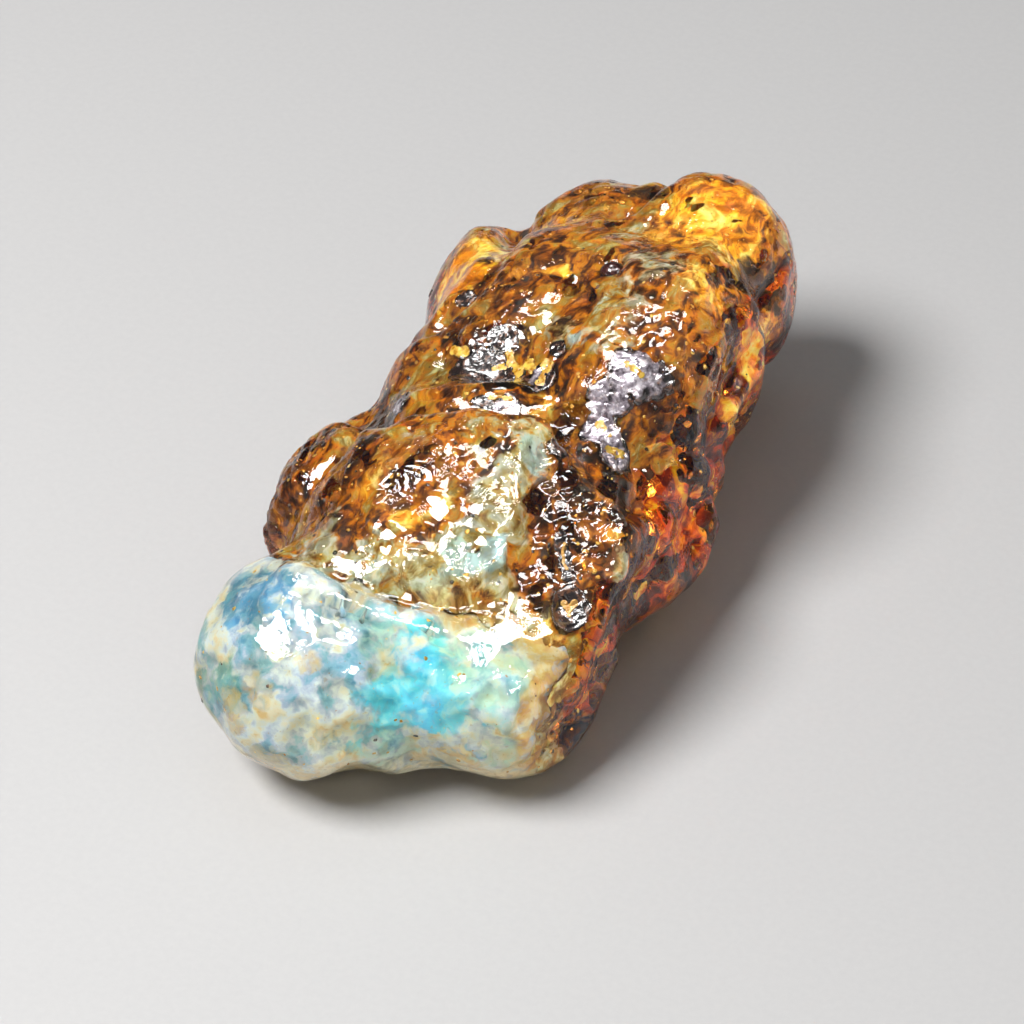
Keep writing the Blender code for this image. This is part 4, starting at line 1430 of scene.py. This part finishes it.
@dataclass
class Studio:
    """The plain room: camera, floor and soft lights."""

    azimuth: float = math.radians(25)
    elevation: float = math.radians(40)
    distance: float = 0.300
    field_width: float = 0.064
    sensor: float = 36.0
    aim: Vector = field(default_factory=lambda: Vector((-0.65, -1.65, 8.0)) * MM)
    off_middle: tuple[float, float] = (1.19 * MM, -1.25 * MM)
    floor_half: float = 1.5
    floor_drop: float = 0.02 * MM
    sky: tuple[float, float] = (0.12, 0.34)

    def directions(self) -> tuple[Vector, Vector, Vector]:
        """The camera's right, up and backward directions."""
        a, e = self.azimuth, self.elevation
        back = Vector((math.sin(a) * math.cos(e), -math.cos(a) * math.cos(e), math.sin(e)))
        right = Vector((math.cos(a), math.sin(a), 0))
        return right, back.cross(right), back

    def place_camera(self) -> None:
        """Puts the camera where the photograph was taken from."""
        right, up, back = self.directions()
        lens = bpy.data.cameras.new("camera")
        lens.sensor_width = self.sensor
        lens.lens = self.sensor * self.distance / self.field_width
        lens.clip_start = 0.01
        camera = bpy.data.objects.new("camera", lens)
        middle = self.aim + right * self.off_middle[0] + up * self.off_middle[1]
        turn = Matrix((right, up, back)).transposed().to_4x4()
        camera.matrix_world = Matrix.Translation(middle + back * self.distance) @ turn
        bpy.context.scene.collection.objects.link(camera)
        bpy.context.scene.camera = camera

    def lay_floor(self, finish: bpy.types.Material) -> None:
        """Lays the floor just under the nugget."""
        half = self.floor_half
        corners = [(x, y, -self.floor_drop) for x, y in (
            (-half, -half), (half, -half), (half, half), (-half, half))]
        mesh = bpy.data.meshes.new("floor")
        mesh.from_pydata(corners, [], [(0, 1, 2, 3)])
        mesh.materials.append(finish)
        object_of("floor", mesh)

    def hang_light(self, lamp: Lamp) -> None:
        """Hangs a lamp so that it faces the nugget."""
        right, _, back = self.directions()
        front = Vector((back.x, back.y, 0)).normalized()
        toward = right * lamp.toward[0] + front * lamp.toward[1] + Vector((0, 0, lamp.toward[2]))
        direction = toward.normalized()
        light = bpy.data.lights.new(lamp.name, "AREA")
        light.shape = "ELLIPSE"
        light.size, light.size_y = lamp.size
        light.energy = lamp.watts
        light.color = lamp.tint
        made = bpy.data.objects.new(lamp.name, light)
        made.location = self.aim + direction * lamp.distance
        made.rotation_euler = (-direction).to_track_quat("-Z", "Y").to_euler()
        made.visible_diffuse = lamp.lights_floor
        made.visible_glossy = lamp.makes_gloss
        bpy.context.scene.collection.objects.link(made)

    def fill_sky(self) -> None:
        """Lights the room from all round: dimly from behind the nugget, more from above and in front."""
        sky = bpy.data.worlds.new("studio")
        bpy.context.scene.world = sky
        sky.use_nodes = True
        graph = Graph(sky.node_tree)
        _, _, back = self.directions()
        spread = graph.node("ShaderNodeTexCoord").outputs["Generated"]
        toward = graph.node("ShaderNodeVectorMath", {0: spread, 1: back}, operation="DOT_PRODUCT")
        strength = graph.step(toward.outputs["Value"], -0.2, 0.9, *self.sky)
        light = graph.node("ShaderNodeBackground", {"Strength": strength})
        graph.node("ShaderNodeOutputWorld", {"Surface": light.outputs[0]})

    def build(self, finish: bpy.types.Material) -> None:
        """Sets up the whole room."""
        self.place_camera()
        self.lay_floor(finish)
        self.fill_sky()
        for lamp in LAMPS:
            self.hang_light(lamp)


def tune_renderer() -> None:
    """Lets light run through the resin and back without fireflies, and keeps strong colours strong."""
    scene = bpy.context.scene
    scene.cycles.max_bounces = 16
    scene.cycles.diffuse_bounces = 6
    scene.cycles.glossy_bounces = 4
    scene.cycles.transmission_bounces = 12
    scene.cycles.sample_clamp_indirect = 12.0
    scene.view_settings.view_transform = "Standard"


class Nugget:
    """The whole nugget, built from its skin inwards and then its crust and specks."""

    def __init__(self) -> None:
        """Makes what the pieces share."""
        self.patterns = SharedPatterns()
        self.form = NuggetForm(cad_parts[NODE])

    def add(self, piece: bpy.types.Object, slot: str) -> bpy.types.Object:
        """Ties a finished piece to the nugget and reports it."""
        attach(piece, "root")
        LOG.info("%s: %d vertices, %d faces", piece.name, len(piece.data.vertices), len(piece.data.polygons))
        return piece

    def build(self) -> None:
        """Builds every piece in order."""
        resin = ResinSkin(self.form)
        skin = self.add(resin.build(ClearResin(self.patterns).material()), "amber")
        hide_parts(NODE)
        skin_map = SkinMap(resin.mesh)
        self.add_clouds(resin, skin_map)
        crust = CrustFinish(self.patterns).material()
        self.add_inlays(resin, crust)
        bead = SpeckFinish("pit_bead", (26, 12, 14), (70, 34, 30), 0.08).material()
        self.add(PitBead(skin_map).build(bead), "dark_crust")
        self.add_grains(resin.mesh, crust)

    def add_clouds(self, resin: ResinSkin, skin_map: SkinMap) -> None:
        """Adds the cloudy layers, from the outermost in."""
        milk = CloudLayer(
            resin, skin_map, "milk", grain=0.32 * MM, smoothing=0.7 * MM, depth=(0.15 * MM, 1.05 * MM),
            thickness=0.70 * MM, plain_cover=-1.2, hole_size=2.0 * MM, seed=12.0, cover={Zone.MILK: 2.0})
        self.add(milk.build(MilkFinish(self.patterns).material()), "flow_layers")
        near = CloudLayer(
            resin, skin_map, "near_clouds", grain=0.32 * MM, smoothing=0.7 * MM, depth=(0.18 * MM, 0.85 * MM),
            thickness=0.12 * MM, plain_cover=0.50, hole_size=1.4 * MM, seed=2.0,
            cover={Zone.CLEAR: -0.75, Zone.PALE: 0.90, Zone.GOLD: 0.60, Zone.BROWN: 0.25, Zone.DARK: 0.0,
                   Zone.CRUST: 1.0, Zone.MILK: -0.9})
        self.add(near.build(CloudFinish(self.patterns, "near_clouds").material()), "flow_layers")
        deep = CloudLayer(
            resin, skin_map, "deep_clouds", grain=0.45 * MM, smoothing=1.1 * MM, depth=(1.1 * MM, 3.0 * MM),
            thickness=0.2 * MM, plain_cover=0.20, hole_size=2.6 * MM, seed=5.0, sunk=1.0 * MM,
            cover={Zone.CLEAR: 0.0, Zone.MILK: 0.2})
        self.add(deep.build(CloudFinish(self.patterns, "deep_clouds", 0.6 * MM).material()), "flow_layers")

    def add_inlays(self, resin: ResinSkin, crust: bpy.types.Material) -> None:
        """Adds the dark crust, the yellow windows, the crater's heart and the fine line by the crater."""
        black = Inlay(resin, "black_crust", Zone.CRUST, lift=0.05 * MM, finer=1, raggedness=0.45,
                      wave=0.7 * MM, cleared_by=(Zone.MILK,))
        self.add(black.build(crust), "dark_crust")
        yellow = SpeckFinish("yellow_window", (164, 108, 10), (222, 186, 72), 0.25).material()
        windows = Inlay(resin, "yellow_windows", Zone.YOLK, lift=0.06 * MM, finer=2, raggedness=0.60,
                        wave=0.38 * MM)
        self.add(windows.build(yellow), "flow_layers")
        cream = SpeckFinish("cream", (190, 128, 40), (220, 176, 96), 0.3).material()
        for name, zone, lift, ragged in (("crater_heart", Zone.HEART, 0.13 * MM, 0.12),
                                         ("cream_line", Zone.CREAM, 0.12 * MM, 0.10)):
            inlay = Inlay(resin, name, zone, lift, finer=3, raggedness=ragged, wave=0.4 * MM)
            self.add(inlay.build(cream), "flow_layers")

    def add_grains(self, skin: bpy.types.Mesh, crust: bpy.types.Material) -> None:
        """Adds the grit on the skin, the flecks under it and the spangles deep in the clear resin."""
        tree = StrewnGrains()
        grit = Strewn(
            tree, "grit", per_square_mm=1.2, sizes=(0.05 * MM, 0.30 * MM), flatness=0.5, sink=0.08 * MM,
            seed=21, plain_chance=0.2, raggedness=0.8, chances={
                Zone.MILK: 0.04, Zone.BROWN: 0.8, Zone.CRUST: 0.5, Zone.GOLD: 0.1, Zone.CLEAR: 0.1})
        self.add(grit.build(skin, crust), "dark_crust")
        gold = SpeckFinish("gold_fleck", (240, 150, 20), (255, 224, 120), 0.2, 0.5).material()
        flecks = Strewn(
            tree, "gold_flecks", per_square_mm=2.2, sizes=(0.05 * MM, 0.34 * MM), flatness=0.12,
            sink=0.20 * MM, seed=22, plain_chance=0.4, raggedness=1.2, roundness=1,
            chances={Zone.MILK: 0.12, Zone.BROWN: 1.0, Zone.CRUST: 0.2, Zone.CLEAR: 0.2})
        self.add(flecks.build(skin, gold), "flow_layers")
        spangles = Strewn(
            tree, "spangles", per_square_mm=0.30, sizes=(0.2 * MM, 1.0 * MM), flatness=0.05,
            sink=2.4 * MM, seed=23, plain_chance=0.0, raggedness=0.4,
            chances={Zone.CLEAR: 1.0, Zone.BROWN: 0.3, Zone.MILK: 0.0})
        fire = SpeckFinish("spangle", (240, 120, 16), (255, 190, 70), 0.16, 0.85).material()
        self.add(spangles.build(skin, fire), "flow_layers")


def main() -> None:
    """Builds the nugget, then the room."""
    logging.basicConfig(level=logging.INFO, format="%(name)s: %(message)s")
    Nugget().build()
    Studio().build(FloorFinish().material())
    tune_renderer()


if __name__ == "__main__":
    main()
